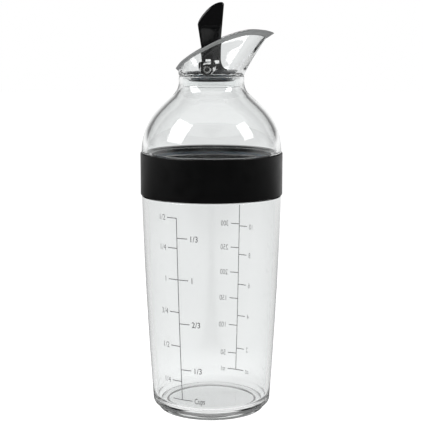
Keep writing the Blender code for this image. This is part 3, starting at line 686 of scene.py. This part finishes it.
def make_bottle(material):
    ring_bore = FOOT_RADIUS - FOOT_RING_WIDTH
    foot_top = FOOT_RADIUS + FOOT_DRAFT
    wall = [(body_radius(height), height) for height in body_heights()]
    inner = [(radius - BOTTLE_WALL, height) for radius, height in reversed(wall)]
    foot = rounded([
        (0, FOOT_RECESS, 0),
        (ring_bore - FOOT_CHAMFER, FOOT_RECESS, FOOT_CHAMFER / 2),
        (ring_bore, 0, FOOT_CHAMFER / 3),
        (FOOT_RADIUS, 0, FOOT_CHAMFER / 3),
        (foot_top, FOOT_HEIGHT, FOOT_CHAMFER / 5),
        (foot_top + HEEL_STEP, FOOT_HEIGHT, FOOT_CHAMFER / 5),
        (HEEL_RADIUS, HEEL_HEIGHT, HEEL_FILLET),
        (*wall[0], 0),
    ], closed=False)[1:]
    shoulder = bent([
        (*wall[-1], 0),
        (BODY_TOP_RADIUS, BODY_TOP, SHOULDER_STEP_FILLET),
        (SHOULDER_RADIUS, BODY_TOP, SHOULDER_STEP_FILLET / 2),
        (SHOULDER_RADIUS, SHOULDER_HEIGHT, SHOULDER_FILLET),
        (NECK_RADIUS, SHOULDER_HEIGHT, NECK_FILLET),
        (NECK_RADIUS, NECK_TOP, 0),
    ])
    slope_top = SHOULDER_HEIGHT - BOTTLE_WALL / 4
    slope_low = slope_top - SHOULDER_SLOPE_HEIGHT
    lip = bent([
        (NECK_RADIUS, SHOULDER_HEIGHT, 0),
        (NECK_RADIUS, NECK_TOP, NECK_LIP_FILLET),
        (NECK_BORE, NECK_TOP, NECK_LIP_FILLET),
        (NECK_BORE, slope_top, SHOULDER_SLOPE_FILLET),
        (body_radius(slope_low) - BOTTLE_WALL, slope_low, SHOULDER_SLOPE_FILLET),
        (*inner[0], 0),
    ])
    floor = bent([
        (*inner[-2], 0),
        (body_radius(FLOOR_HEIGHT) - BOTTLE_WALL, FLOOR_HEIGHT, FLOOR_FILLET),
        (0, FLOOR_HEIGHT, 0),
    ])
    rings = list(reversed(disc_rings(foot[0].x, FOOT_RECESS)))
    rings += rings_of(foot + wall[1:] + shoulder)
    for height in stretch(shoulder[-1].y, lip[0].y, THREAD_RING_STEP):
        rings.append(threaded(NECK_RADIUS, height, THREAD_START, 1))
    rings += rings_of(lip + inner[:-1] + floor)
    rings += disc_rings(floor[-1].x, FLOOR_HEIGHT)
    bottle = skin("clear_bottle", rings, material)
    dress(bottle, "container", "container")


# Printed scales

def wrap(point, turns):
    """A flat point (across, up, out) laid on the bottle's wall about a scale's line."""
    across, height, out = point
    radius = body_radius(height) + INK_LIFT + out
    angle = mix(*turns, height / BODY_TOP) + across / radius
    return (radius * sin(angle), -radius * cos(angle), height)


def add_bar(grid, turns, start, end, steps):
    """A printed line from start to end, both (across, height), as a thin closed slab."""
    start, end = Vector(start), Vector(end)
    along = (end - start).normalized()
    side = Vector((-along.y, along.x)) * INK_WIDTH / 2
    rings = []
    for step in range(steps + 1):
        middle = start.lerp(end, step / steps)
        corners = ((1, 0), (-1, 0), (-1, INK_THICKNESS), (1, INK_THICKNESS))
        places = [(*(middle + side * sign), out) for sign, out in corners]
        rings.append([wrap(place, turns) for place in places])
    bridge(grid, rings)


def add_label(grid, turns, text, across, height, align, narrow, bold):
    """Characters laid on the wall, level with a height, set to one side of a place."""
    curve = bpy.data.curves.new("label", "FONT")
    curve.body = text
    curve.size = DIGIT_HEIGHT / FONT_CAP_SHARE
    if text.isalpha():
        narrow = WORD_NARROW
    curve.align_x = align
    curve.resolution_u = DIGIT_CURVE_STEPS
    curve.offset = bold
    curve.extrude = INK_THICKNESS / 2
    item = add_object("label", curve)
    mesh = bpy.data.meshes.new_from_object(item)
    for vertex in mesh.vertices:
        x, y, z = vertex.co
        place = (across + x * narrow, height - DIGIT_HEIGHT / 2 + y, z + INK_THICKNESS / 2)
        vertex.co = wrap(place, turns)
    grid.from_mesh(mesh)
    bpy.data.objects.remove(item, do_unlink=True)
    bpy.data.curves.remove(curve)
    bpy.data.meshes.remove(mesh)


def add_ticks(grid, turns, sizes, heights, labels, side, bold):
    """Ticks to one side of a scale's line, side -1 for left and 1 for right."""
    tick, space, narrow = sizes
    align = "LEFT" if side > 0 else "RIGHT"
    for height, label in zip(heights, labels):
        add_bar(grid, turns, (0, height), (side * tick, height), TICK_STEPS)
        add_label(grid, turns, str(label), side * (tick + space), height, align, narrow, bold)


def make_scale(name, turns, line, sizes, sides, material):
    """A printed scale: an upright line with ticks and labels on one or both sides."""
    grid = bmesh.new()
    low, high = line
    add_bar(grid, turns, (0, low), (0, high), BODY_RINGS)
    for heights, labels, side, bold in sides:
        add_ticks(grid, turns, sizes, heights, labels, side, bold)
    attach(close(name, grid, material), "container")


def mark_height(marks, cups):
    """Height of the surface when the bottle holds so many cups, read on one of the scales."""
    first, each, square = marks
    return first + each * cups + square * cups * cups


def make_scales(material):
    quarters = [mark_height(CUP_MARKS, (step + 1) / 4) for step in range(len(QUARTER_CUP_LABELS))]
    thirds = [mark_height(CUP_MARKS, (step + 1) / 3) for step in range(len(THIRD_CUP_LABELS))]
    millilitres = [mark_height(FAR_MARKS, volume / CUP_VOLUME) for volume in MILLILITRE_MARKS]
    ounces = [mark_height(FAR_MARKS, volume * OUNCE_VOLUME / CUP_VOLUME) for volume in OUNCE_MARKS]
    cup_line = (CUP_LINE_LOW, quarters[-1])
    cup_sizes = (CUP_TICK, CUP_LABEL_SPACE, CUP_DIGIT_NARROW)
    far_sizes = (FAR_TICK, FAR_LABEL_SPACE, FAR_DIGIT_NARROW)
    make_scale("cup_scale", CUP_TURNS, cup_line, cup_sizes, [
        (quarters, QUARTER_CUP_LABELS, -1, DIGIT_LIGHT),
        (thirds, THIRD_CUP_LABELS, 1, DIGIT_BOLD),
        ([CUP_LINE_LOW], ["Cups"], 1, DIGIT_BOLD),
        ([CUP_LINE_LOW], [""], -1, DIGIT_LIGHT),
    ], material)
    make_scale("millilitre_and_ounce_scale", FAR_TURNS, FAR_LINE, far_sizes, [
        (millilitres, MILLILITRE_MARKS, 1, DIGIT_LIGHT),
        (FAR_LINE[:1], ["ml"], 1, DIGIT_LIGHT),
        (ounces, OUNCE_MARKS, -1, DIGIT_LIGHT),
        (FAR_LINE[:1], ["oz"], -1, DIGIT_LIGHT),
    ], material)


# Lid: gasket, dome and grip band

def make_gasket(material):
    top = GASKET_LOW + GASKET_THICKNESS
    outline = rounded([
        (GASKET_OUTER, GASKET_LOW, GASKET_FILLET),
        (GASKET_OUTER, top, GASKET_FILLET),
        (NECK_BORE, top, GASKET_FILLET),
        (NECK_BORE, GASKET_LOW, GASKET_FILLET),
    ])
    gasket = turned("gasket_ring", outline, material, closed=True)
    dress(gasket, "gasket", "lid_gasket")


def roof_height(radius, depth):
    """Height, at a radius, of the straight slope that lies a depth beneath the dome's own."""
    return DOME_EAVES_HEIGHT + (DOME_RADIUS - radius) * tan(DOME_SLOPE) - depth / cos(DOME_SLOPE)


def make_dome(material):
    bend = tan((pi / 2 + DOME_SLOPE) / 2)
    inner_radius = DOME_RADIUS - DOME_WALL
    inner_eaves = roof_height(inner_radius, DOME_WALL)
    inner_mouth = roof_height(MOUTH_BORE, DOME_WALL)
    ledge_top = LEDGE_LOW + LEDGE_THICKNESS
    skirt = bent([
        (DOME_RADIUS, DOME_EAVES_HEIGHT, 0),
        (DOME_RADIUS, DOME_LOW, SKIRT_FILLET),
        (SKIRT_RADIUS, DOME_LOW, SKIRT_FILLET / 2),
        (SKIRT_RADIUS, SKIRT_LOW, SKIRT_FILLET),
        (SKIRT_BORE, SKIRT_LOW, SKIRT_FILLET),
        (SKIRT_BORE, LEDGE_LOW, 0),
    ])
    ledge = bent([
        (SKIRT_BORE, SKIRT_LOW, 0),
        (SKIRT_BORE, LEDGE_LOW, SKIRT_FILLET),
        (LEDGE_RADIUS, LEDGE_LOW, SKIRT_FILLET),
        (LEDGE_RADIUS, ledge_top, SKIRT_FILLET),
        (inner_radius, ledge_top, SKIRT_FILLET),
        (inner_radius, inner_eaves, 0),
    ])
    roof_inside = bent([
        (inner_radius, ledge_top, 0),
        (inner_radius, inner_eaves, (inner_eaves - DOME_LOW) * bend),
        (MOUTH_BORE, inner_mouth, 0),
    ])
    mouth = bent([
        (inner_radius, inner_eaves, 0),
        (MOUTH_BORE, inner_mouth, MOUTH_FILLET + MOUTH_WALL),
        (MOUTH_BORE, MOUTH_TOP, MOUTH_EDGE),
        (MOUTH_RADIUS, MOUTH_TOP, MOUTH_EDGE),
        (MOUTH_RADIUS, MOUTH_ROOT, MOUTH_FILLET),
        (DOME_RADIUS, DOME_EAVES_HEIGHT, 0),
    ])
    roof_outside = bent([
        (MOUTH_RADIUS, MOUTH_ROOT, 0),
        (DOME_RADIUS, DOME_EAVES_HEIGHT, DOME_EAVES * bend),
        (DOME_RADIUS, DOME_LOW, 0),
    ])
    rings = rings_of(skirt)
    thread_start = THREAD_START + THREAD_PITCH / 2
    for height in stretch(skirt[-1].y, ledge[0].y, THREAD_RING_STEP):
        rings.append(threaded(SKIRT_BORE, height, thread_start, -1))
    rings += rings_of(ledge + roof_inside + mouth + roof_outside)
    dome = skin("clear_dome", rings, material, closed=True)
    dress(dome, "lid", "dome_lid")


def make_band(material):
    lip_radius = SKIRT_BORE + BAND_LIP_CLEARANCE
    lip_top = BAND_LIP_LOW + BAND_LIP
    outline = rounded([
        (BAND_RADIUS, BAND_TOP, BAND_FILLET),
        (BAND_BORE, BAND_TOP, BAND_FILLET / 2),
        (BAND_BORE, lip_top, 0),
        (lip_radius, lip_top, BAND_LIP / 4),
        (lip_radius, BAND_LIP_LOW, BAND_LIP / 4),
        (BAND_BORE, BAND_LIP_LOW, BAND_LIP / 4),
        (BAND_BORE, BAND_LOW, BAND_FILLET / 2),
        (BAND_RADIUS, BAND_LOW, BAND_FILLET),
    ])
    band = turned("rubber_band_grip", outline, material, closed=True)
    dress(band, "lid", "grip_band")


# Spout, with its conical seat and its two cradles

def seal_radius(height):
    """Outer radius of the tapered seal at a height."""
    return SEAL_RADIUS - (SEAL_TOP - height) * SEAT_TAPER


def rim_share(turn):
    """Share of the rim's rise at a turn, on a smooth curve through the named shares."""
    folded = min(turn % (2 * pi), 2 * pi - turn % (2 * pi))
    last = len(RIM_RISE_SHARES) - 1
    place = folded / pi * last
    index = min(int(place), last - 1)
    f = place - index
    a = RIM_RISE_SHARES[abs(index - 1)]
    b = RIM_RISE_SHARES[index]
    c = RIM_RISE_SHARES[index + 1]
    d = RIM_RISE_SHARES[last - abs(last - index - 2)]
    cubic = (3 * b - a - 3 * c + d) * f + 2 * a - 5 * b + 4 * c - d
    return (2 * b + (c - a) * f + cubic * f * f) / 2


def rim_plan(turn):
    """The rim's outer edge seen from above, an egg with its narrow end at the lip."""
    x = SPOUT_MIDDLE + SPOUT_HALF_LENGTH * cos(turn)
    y = RIM_HALF_WIDTH * sin(turn) * (1 - EGG_SHARE * cos(turn))
    return Vector((x, y, 0))


def lean_share(turn):
    """How straight the wall flares: 1 is a cone and 0 a trumpet, straighter fore and aft."""
    return mix(SIDE_LEAN_SHARE, LEAN_SHARE, cos(turn) ** 2)


def rim_point(turn, back, lift):
    """A point of the rim, back from its outer edge and lifted above it."""
    along = rim_plan(turn + RIM_NUDGE) - rim_plan(turn - RIM_NUDGE)
    outward = Vector((along.y, -along.x, 0)).normalized()
    height = RIM_LOW + RIM_RISE * rim_share(turn)
    return rim_plan(turn) - outward * back + Vector((0, 0, height + lift))


def drip_point(turn):
    """Where the wall bends out to its drip edge, which is widest at the pouring lip."""
    front = ((1 + cos(turn)) / 2) ** 2
    drop = mix(DRIP_DROP, LIP_DRIP_DROP, front)
    return rim_point(turn, mix(DRIP_REACH, LIP_DRIP_REACH, front), -drop)


def rim_rings():
    """Rings over the rim, from where the wall bends out to the top of its inner side."""
    turns = turns_of(SPOUT_SIDES)
    bend = [drip_point(turn) for turn in turns]
    edge = [rim_point(turn, 0, -RIM_ROUND) for turn in turns]
    rings = [bend]
    for share in DRIP_LEVEL_SHARES:
        rings.append([low.lerp(high, share) for low, high in zip(bend, edge)])
    angles = [pi / 2 * step / RIM_ROUND_STEPS for step in range(RIM_ROUND_STEPS + 1)]
    for angle in angles:
        back, drop = RIM_ROUND * (1 - cos(angle)), RIM_ROUND * (1 - sin(angle))
        rings.append([rim_point(turn, back, -drop) for turn in turns])
    rings.append([rim_point(turn, RIM_WIDTH / 2, RIM_CANT / 2) for turn in turns])
    for angle in angles:
        back, drop = RIM_WIDTH - RIM_ROUND * (1 - sin(angle)), RIM_ROUND * (1 - cos(angle))
        rings.append([rim_point(turn, back, RIM_CANT - drop) for turn in turns])
    return rings


def flare_ring(share, foot_radius, foot_height, brim):
    """A ring of the spout's wall, a share of the way from its round foot to its brim."""
    points = []
    for turn, top in zip(turns_of(SPOUT_SIDES), brim):
        lean = share * mix(lean_share(turn), 1, share)
        foot = Vector((cos(turn), sin(turn))) * foot_radius
        points.append((*foot.lerp(top.xy, lean), mix(foot_height, top.z, share)))
    return points


def frost_drip(spout, material, count):
    """Give the strips of the drip edge, skinned after the plain wall's, their frosted finish and
    painted grey shade.
    """
    spout.data.materials.append(material)
    first = (WALL_LEVELS + 1) * SPOUT_SIDES
    for face in spout.data.polygons[first:first + count * SPOUT_SIDES]:
        face.material_index = 1


def make_spout(material, satin_and_shade):
    seat_top = SEAL_TOP + SEAT_RISE
    foot_radius = SPOUT_FLANGE_RADIUS - SPOUT_WALL
    foot_height = SPOUT_FLANGE_LOW + SPOUT_FOOT_RISE
    seat_top_radius = seal_radius(seat_top) + GAP
    bore = seal_radius(SEAL_LOW) + GAP
    brim = rim_rings()
    shares = [level / WALL_LEVELS for level in range(WALL_LEVELS)]
    rings = []
    for share in shares + [BEND_SHARE]:
        rings.append(flare_ring(share, SPOUT_FLANGE_RADIUS, SPOUT_FLANGE_LOW, brim[0]))
    rings += brim
    for share in reversed(shares):
        rings.append(flare_ring(share, foot_radius, foot_height, brim[-1]))
    below = rounded([
        (foot_radius, foot_height, 0),
        (seat_top_radius + SEAT_RISE, seat_top + SEAT_RISE, SEAT_RISE),
        (seat_top_radius, seat_top, 0),
        (bore, SEAL_LOW, SPOUT_CHAMFER / 2),
        (bore, SPOUT_SKIRT_LOW, SPOUT_CHAMFER),
        (SPOUT_SKIRT_RADIUS, SPOUT_SKIRT_LOW, SPOUT_CHAMFER),
        (SPOUT_SKIRT_RADIUS, SPOUT_FLANGE_LOW, 0),
    ], closed=False)[1:]
    rings += rings_of(below, SPOUT_SIDES)
    spout = skin("clear_spout", rings, material, closed=True)
    # The drip edge's strips take the frosted plastic with painted grey shade
    frost_drip(spout, satin_and_shade, len(brim) - 1)
    merge(spout, cradle_steps(-1, "near", material) + cradle_steps(1, "far", material))
    dress(spout, "lid", "pour_spout")


def slot_outline(radius, top):
    """A U open upwards about the pivot: half a circle with straight sides to a top."""
    steps = PIN_SIDES // 2
    points = [(PIVOT.x + radius, top)]
    for step in range(steps + 1):
        angle = -pi * step / steps
        points.append((PIVOT.x + radius * cos(angle), PIVOT.z + radius * sin(angle)))
    points.append((PIVOT.x - radius, top))
    return points


def make_pad(name, outline, side, material):
    """The cradle's pad, whose back leans out with the wall that it is buried in."""
    root = min(z for x, z in outline)
    lean = (CRADLE_BACK_TOP - CRADLE_BACK) / (CRADLE_ROOT + CRADLE_TOP)
    face = [(x, side * CRADLE_FACE, z) for x, z in outline]
    back = [(x, side * (CRADLE_BACK + (z - root) * lean), z) for x, z in outline]
    return skin(name, [face, back], material)


def cradle_steps(side, label, material):
    """A pad on the spout's inner wall with a stepped slot for the hub's end and the pin's."""
    slot = HUB_RADIUS + GAP
    pad_half = slot + CRADLE_LEG
    pad_top = PIVOT.z + CRADLE_TOP
    pad = rounded([
        (PIVOT.x - pad_half, PIVOT.z - CRADLE_ROOT, 0),
        (PIVOT.x + pad_half, PIVOT.z - CRADLE_ROOT, 0),
        (PIVOT.x + pad_half, pad_top, CRADLE_LEG),
        (PIVOT.x - pad_half, pad_top, CRADLE_LEG),
    ])
    start = CRADLE_FACE - OVERRUN
    hub_end = HUB_HALF_WIDTH + GAP
    steps = [(make_pad(f"{label}_pad", pad, side, material), "UNION")]
    for part, outline, end in (
        ("hub", slot_outline(slot, pad_top + CRADLE_MOUTH), hub_end),
        ("pin", slot_outline(PIN_RADIUS + GAP, pad_top - CRADLE_LEG), hub_end + PIN_END),
    ):
        cut = plank(f"{label}_{part}_slot", outline, side * start, side * end, material)
        steps.append((cut, "DIFFERENCE"))
    return steps


def make_pin(bright, dimple_shade):
    """The pin, turned bright, with painted shade in the shallow dimple at each end, in a dark
    steel.
    """
    half = HUB_HALF_WIDTH + PIN_END
    profile = [
        (PIN_DIMPLE_RADIUS / 8, half - PIN_DIMPLE_DEPTH),
        (PIN_DIMPLE_RADIUS * 2 / 3, half - PIN_DIMPLE_DEPTH * 2 / 3),
        (PIN_DIMPLE_RADIUS, half),
        (PIN_RADIUS - PIN_CHAMFER, half),
        (PIN_RADIUS - PIN_CHAMFER / 4, half - PIN_CHAMFER / 4),
        (PIN_RADIUS, half - PIN_CHAMFER),
    ]
    pin = rod("steel_pin", profile, bright)
    pin.data.materials.append(dimple_shade)
    # The dimples' faces take the dark steel: painted shade, as if the dimples were deeper
    for face in pin.data.polygons:
        reach = Vector((face.center.x - PIVOT.x, face.center.z - PIVOT.z)).length
        face.material_index = int(reach < PIN_DIMPLE_RADIUS)
    dress(pin, "lid", "pivot_pin")


# Stopper: plate, seal and lever

def plate_top(radius):
    """Height of the stopper plate's domed top at a radius."""
    crown_radius = (PLATE_RADIUS ** 2 + PLATE_CROWN ** 2) / (2 * PLATE_CROWN)
    centre = PLATE_RIM_LOW + PLATE_EDGE + PLATE_CROWN - crown_radius
    return centre + crown_radius * cos(asin(radius / crown_radius))


def pivot_rod(name, radius, half, material):
    return rod(name, [(radius, half)], material)


def make_plate(material):
    flange = PLATE_CORE + PLATE_FLANGE_WIDTH
    flange_top = PLATE_LOW + PLATE_FLANGE
    crown = PLATE_RADIUS - PLATE_CROWN
    outline = rounded([
        (0, PLATE_LOW, 0),
        (flange, PLATE_LOW, PLATE_FLANGE / 2),
        (flange, flange_top, PLATE_FLANGE / 6),
        (PLATE_CORE, flange_top, 0),
        (PLATE_CORE, PLATE_RIM_LOW, 0),
        (PLATE_RADIUS, PLATE_RIM_LOW, PLATE_EDGE / 3),
        (PLATE_RADIUS, plate_top(PLATE_RADIUS), PLATE_EDGE / 3),
        (crown, plate_top(crown), 0),
    ], closed=False)[1:]
    for radius in stretch(crown, 0, PLATE_RADIUS / PLATE_CROWN_RINGS):
        outline.append((radius, plate_top(radius)))
    plate = turned("stopper_disc", outline, material)
    trough = pivot_rod("plate_trough", HUB_RADIUS + GAP, PLATE_RADIUS + OVERRUN, material)
    peg_low = plate_top(PEG_PLACE) - PEG_DEPTH
    hole = peg("plate_hole", PEG_RADIUS + GAP, peg_low - GAP, plate_top(0) + OVERRUN, material)
    merge(plate, [(trough, "DIFFERENCE"), (hole, "DIFFERENCE")])
    dress(plate, "stopper", "stopper_plate")


def peg(name, radius, low, top, material):
    """An upright cylinder where the lever's peg enters the plate."""
    rings = []
    for height in (low, top):
        rings.append([(x + PEG_PLACE, y, z) for x, y, z in circle(radius, height, PIN_SIDES)])
    return skin(name, rings, material)


def make_seal(material):
    """The tapered ring, with two fine grooves that leave sealing ribs."""
    bore = SEAL_RADIUS - SEAL_DEPTH
    corners = [
        (SEAL_RADIUS, SEAL_TOP, SEAL_FILLET),
        (bore, SEAL_TOP, SEAL_FILLET / 3),
        (bore, SEAL_LOW, SEAL_FILLET / 3),
        (seal_radius(SEAL_LOW), SEAL_LOW, SEAL_FILLET),
    ]
    for share, groove in ((1 / 3, SEAL_GROOVE), (1 / 2, 0), (2 / 3, SEAL_GROOVE)):
        height = SEAL_LOW + SEAL_HEIGHT * share
        corners.append((seal_radius(height) - groove, height, SEAL_GROOVE))
    outline = rounded(corners)
    seal = turned("silicone_seal", outline, material, closed=True)
    dress(seal, "stopper", "stopper_seal")


def blade_plan(share, inset):
    """Outline of the blade from above, at a share of its length and drawn in by an inset."""
    rear = inset - mix(STEM_REAR, BLADE_REAR, share)
    front = mix(STEM_FRONT, BLADE_FRONT, share) - inset
    swell = share * share * (3 - 2 * share)
    half = mix(STEM_HALF_WIDTH, BLADE_HALF_WIDTH, swell) - inset
    sides = [mix(rear, front, step / BLADE_SIDE_STEPS) for step in range(1, BLADE_SIDE_STEPS)]
    return rounded([
        (rear, -half, STEM_CORNER),
        *[(x, -half, 0) for x in sides],
        (front, -half, STEM_CORNER),
        (front, half, STEM_CORNER),
        *[(x, half, 0) for x in reversed(sides)],
        (rear, half, STEM_CORNER),
    ])


def blade_height(share, x):
    """Height of the blade's level surface at a share of its length, slanted at the top."""
    rear = -mix(STEM_REAR, BLADE_REAR, share)
    front = mix(STEM_FRONT, BLADE_FRONT, share)
    along = (x - rear) / (front - rear)
    top = mix(BLADE_REAR_TOP, BLADE_FRONT_TOP, along)
    return mix(STEM_HEIGHT, top, share) + 4 * BLADE_BELLY * share * along * (1 - along)


def blade_ring(share, inset=0, lift=0, shrink=1):
    """One ring of the lever's blade; a shrink under 1 draws it in towards its middle."""
    plan = blade_plan(share, inset)
    middle = sum(point.x for point in plan) / len(plan)
    points = []
    for x, y in plan:
        x = middle + (x - middle) * shrink
        points.append((x, y * shrink, blade_height(share, x) + lift))
    return points


def make_lever(material):
    stem_foot = PIVOT.z + STEM_FOOT_RISE
    foot = [(x, y, stem_foot) for x, y, z in blade_ring(0)]
    rings = [foot] + [blade_ring(level / BLADE_LEVELS) for level in range(BLADE_LEVELS + 1)]
    for step in range(1, BLADE_EDGE_STEPS + 1):
        angle = pi / 2 * step / BLADE_EDGE_STEPS
        rings.append(blade_ring(1, BLADE_EDGE * (1 - cos(angle)), BLADE_EDGE * sin(angle)))
    for shrink in BLADE_TOP_SHARES:
        rings.append(blade_ring(1, BLADE_EDGE, BLADE_EDGE, shrink))
    lever = skin("thumb_lever", rings, material)
    hub = [
        (HUB_RADIUS - HUB_CHAMFER, HUB_HALF_WIDTH),
        (HUB_RADIUS, HUB_HALF_WIDTH - HUB_CHAMFER),
    ]
    peg_low = plate_top(PEG_PLACE) - PEG_DEPTH
    bore = pivot_rod("lever_bore", PIN_RADIUS + PIN_GAP, HUB_HALF_WIDTH + OVERRUN, material)
    steps = [
        (rod("lever_hub", hub, material), "UNION"),
        (make_tail(material), "UNION"),
        (peg("lever_peg", PEG_RADIUS, peg_low, stem_foot, material), "UNION"),
        (bore, "DIFFERENCE"),
    ]
    half = STEM_HALF_WIDTH + OVERRUN
    for name, (width, height), (x, rise) in WINDOWS:
        z = PIVOT.z + rise
        corners = [(x + a * width / 2, z + b * height / 2, height / 5) for a, b in CORNERS]
        window = plank(name, rounded(corners), -half, half, material)
        steps.append((window, "DIFFERENCE"))
    merge(lever, steps)
    dress(lever, "stopper", "lever")


def make_tail(material):
    """The web that runs from the stem's front down onto the plate."""
    toe_height = plate_top(TAIL_REACH) + GAP
    outline = [(TAIL_START, TAIL_TOP), (STEM_FRONT, TAIL_TOP)]
    for step in range(1, TAIL_STEPS + 1):
        angle = step / TAIL_STEPS * pi / 2
        x = mix(STEM_FRONT, TAIL_REACH, 1 - cos(angle))
        outline.append((x, mix(TAIL_TOP, toe_height + TAIL_TOE, sin(angle))))
    for step in range(TAIL_STEPS + 1):
        x = mix(TAIL_REACH, TAIL_START, step / TAIL_STEPS)
        outline.append((x, plate_top(x) + GAP))
    return plank("lever_tail", outline, -TAIL_HALF_WIDTH, TAIL_HALF_WIDTH, material)


# Studio: camera, floor, light

def make_camera():
    data = bpy.data.cameras.new("camera")
    data.lens = CAMERA_LENS
    data.sensor_width = CAMERA_SENSOR
    camera = add_object("camera", data)
    camera.location = (0, -CAMERA_BACK, CAMERA_HEIGHT)
    camera.rotation_euler = (CAMERA_TILT, 0, 0)
    bpy.context.scene.camera = camera


def make_floor():
    mesh = bpy.data.meshes.new("floor")
    places = [(x * FLOOR_REACH, y * FLOOR_REACH, 0) for x, y in CORNERS]
    mesh.from_pydata(places, [], [range(len(places))])
    floor = add_object("floor", mesh)
    floor.location.z = -FLOOR_DROP
    mesh.materials.append(floor_material())


def floor_material():
    """White to the camera, and as the floor's tables say to rays through or off a piece."""
    material = bpy.data.materials.new("pale floor")
    tree = tree_of(material)
    tree.nodes.remove(tree.nodes["Principled BSDF"])
    place = add_node(tree, "ShaderNodeNewGeometry", {}).outputs["Position"]
    axes = add_node(tree, "ShaderNodeSeparateXYZ", {"Vector": place}).outputs
    rays = add_node(tree, "ShaderNodeLightPath", {}).outputs

    def join(operation, falls):
        """The falls of a table in one strength, multiplied or the highest of them."""
        ramps = [add_ramp(tree, axes[axis], near, far) for axis, near, far in falls]
        return reduce(lambda first, second: add_math(tree, operation, first, second), ramps)

    def glow(strength):
        return add_node(tree, "ShaderNodeEmission", {"Strength": strength}).outputs["Emission"]

    card = join("MAXIMUM", FLOOR_CARD)
    through = add_math(tree, "MULTIPLY", join("MULTIPLY", FLOOR_THROUGH), card)
    seen = glow(add_choice(tree, rays["Is Transmission Ray"], through))
    grey = (FLOOR_GREY, FLOOR_GREY, FLOOR_GREY, 1)
    matte = add_node(tree, "ShaderNodeBsdfDiffuse", {"Color": grey}).outputs["BSDF"]
    lit = add_node(tree, "ShaderNodeAddShader", {0: seen, 1: matte}).outputs["Shader"]
    mirrored = glow(join("MULTIPLY", FLOOR_MIRRORED))
    # A ray through smooth glass has both flags, and one off a surface has the first alone
    off = add_math(tree, "SUBTRACT", rays["Is Glossy Ray"], rays["Is Transmission Ray"])
    off.node.use_clamp = True
    pick = add_node(tree, "ShaderNodeMixShader", {0: off, 1: lit, 2: mirrored})
    plug(tree, tree.nodes["Material Output"], {"Surface": pick.outputs["Shader"]})
    return material


def make_world():
    world = bpy.data.worlds.new("studio")
    bpy.context.scene.world = world
    tree = tree_of(world)
    place = add_node(tree, "ShaderNodeTexCoord", {}).outputs["Generated"]
    x, y, z = add_node(tree, "ShaderNodeSeparateXYZ", {"Vector": place}).outputs
    rays = add_node(tree, "ShaderNodeLightPath", {}).outputs

    def ramp(source, low, high):
        return add_ramp(tree, source, low, high, "SMOOTHSTEP")

    def surround(low, high, dark, light):
        """Dark overhead and light where the world is bright, with a ramp to the front."""
        level = add_ramp(tree, bright, (0, dark), (1, light))
        return add_math(tree, "MULTIPLY", ramp(y, low, high), level)

    off_axis = add_math(tree, "MINIMUM", *[add_math(tree, "ABSOLUTE", side) for side in (x, y)])
    cards = add_math(tree, "MULTIPLY", ramp(off_axis, *WORLD_CARDS), ramp(z, *WORLD_LOW))
    bright = add_math(tree, "MAXIMUM", cards, ramp(z, *WORLD_HORIZON))
    through, mirrored = surround(*WORLD_THROUGH), surround(*WORLD_MIRRORED)
    seen = add_choice(tree, rays["Is Transmission Ray"], through, mirrored)
    strength = add_math(tree, "MAXIMUM", seen, rays["Is Camera Ray"])
    white = {"Color": (1, 1, 1, 1), "Strength": strength}
    plug(tree, tree.nodes["Background"], white)


def make_softbox(name, place, size, power):
    data = bpy.data.lights.new(name, "AREA")
    data.shape = "RECTANGLE"
    data.size, data.size_y = size
    data.energy = power
    light = add_object(name, data)
    light.location = place
    aim = SOFTBOX_AIM - Vector(place)
    light.rotation_euler = aim.to_track_quat("-Z", "Y").to_euler()
    light.visible_camera = False
    light.visible_transmission = False


def make_studio():
    make_camera()
    make_floor()
    make_world()
    for softbox in SOFTBOXES:
        make_softbox(*softbox)
    bpy.context.scene.view_settings.view_transform = "Standard"
    cycles = bpy.context.scene.cycles
    cycles.max_bounces = LIGHT_BOUNCES
    cycles.transmission_bounces = LIGHT_BOUNCES
    cycles.glossy_bounces = GLOSS_BOUNCES


def build():
    clear = clear_material()
    silicone = silicone_material()
    make_bottle(clear)
    make_scales(ink_material())
    make_gasket(silicone)
    make_dome(clear)
    make_band(grip_material())
    make_spout(clear, satin_material())
    make_pin(
        steel_material("turned steel", 0.75, ((0.62, 0.62, 0.61), (0.76, 0.76, 0.74))),
        # Dark steel that paints the shade inside the pin's dimples
        steel_material("blackened steel", 0.3, ((0.02, 0.02, 0.02), (0.035, 0.035, 0.035))),
    )
    make_plate(smoke_material())
    make_seal(silicone)
    make_lever(lever_material())
    make_studio()


build()
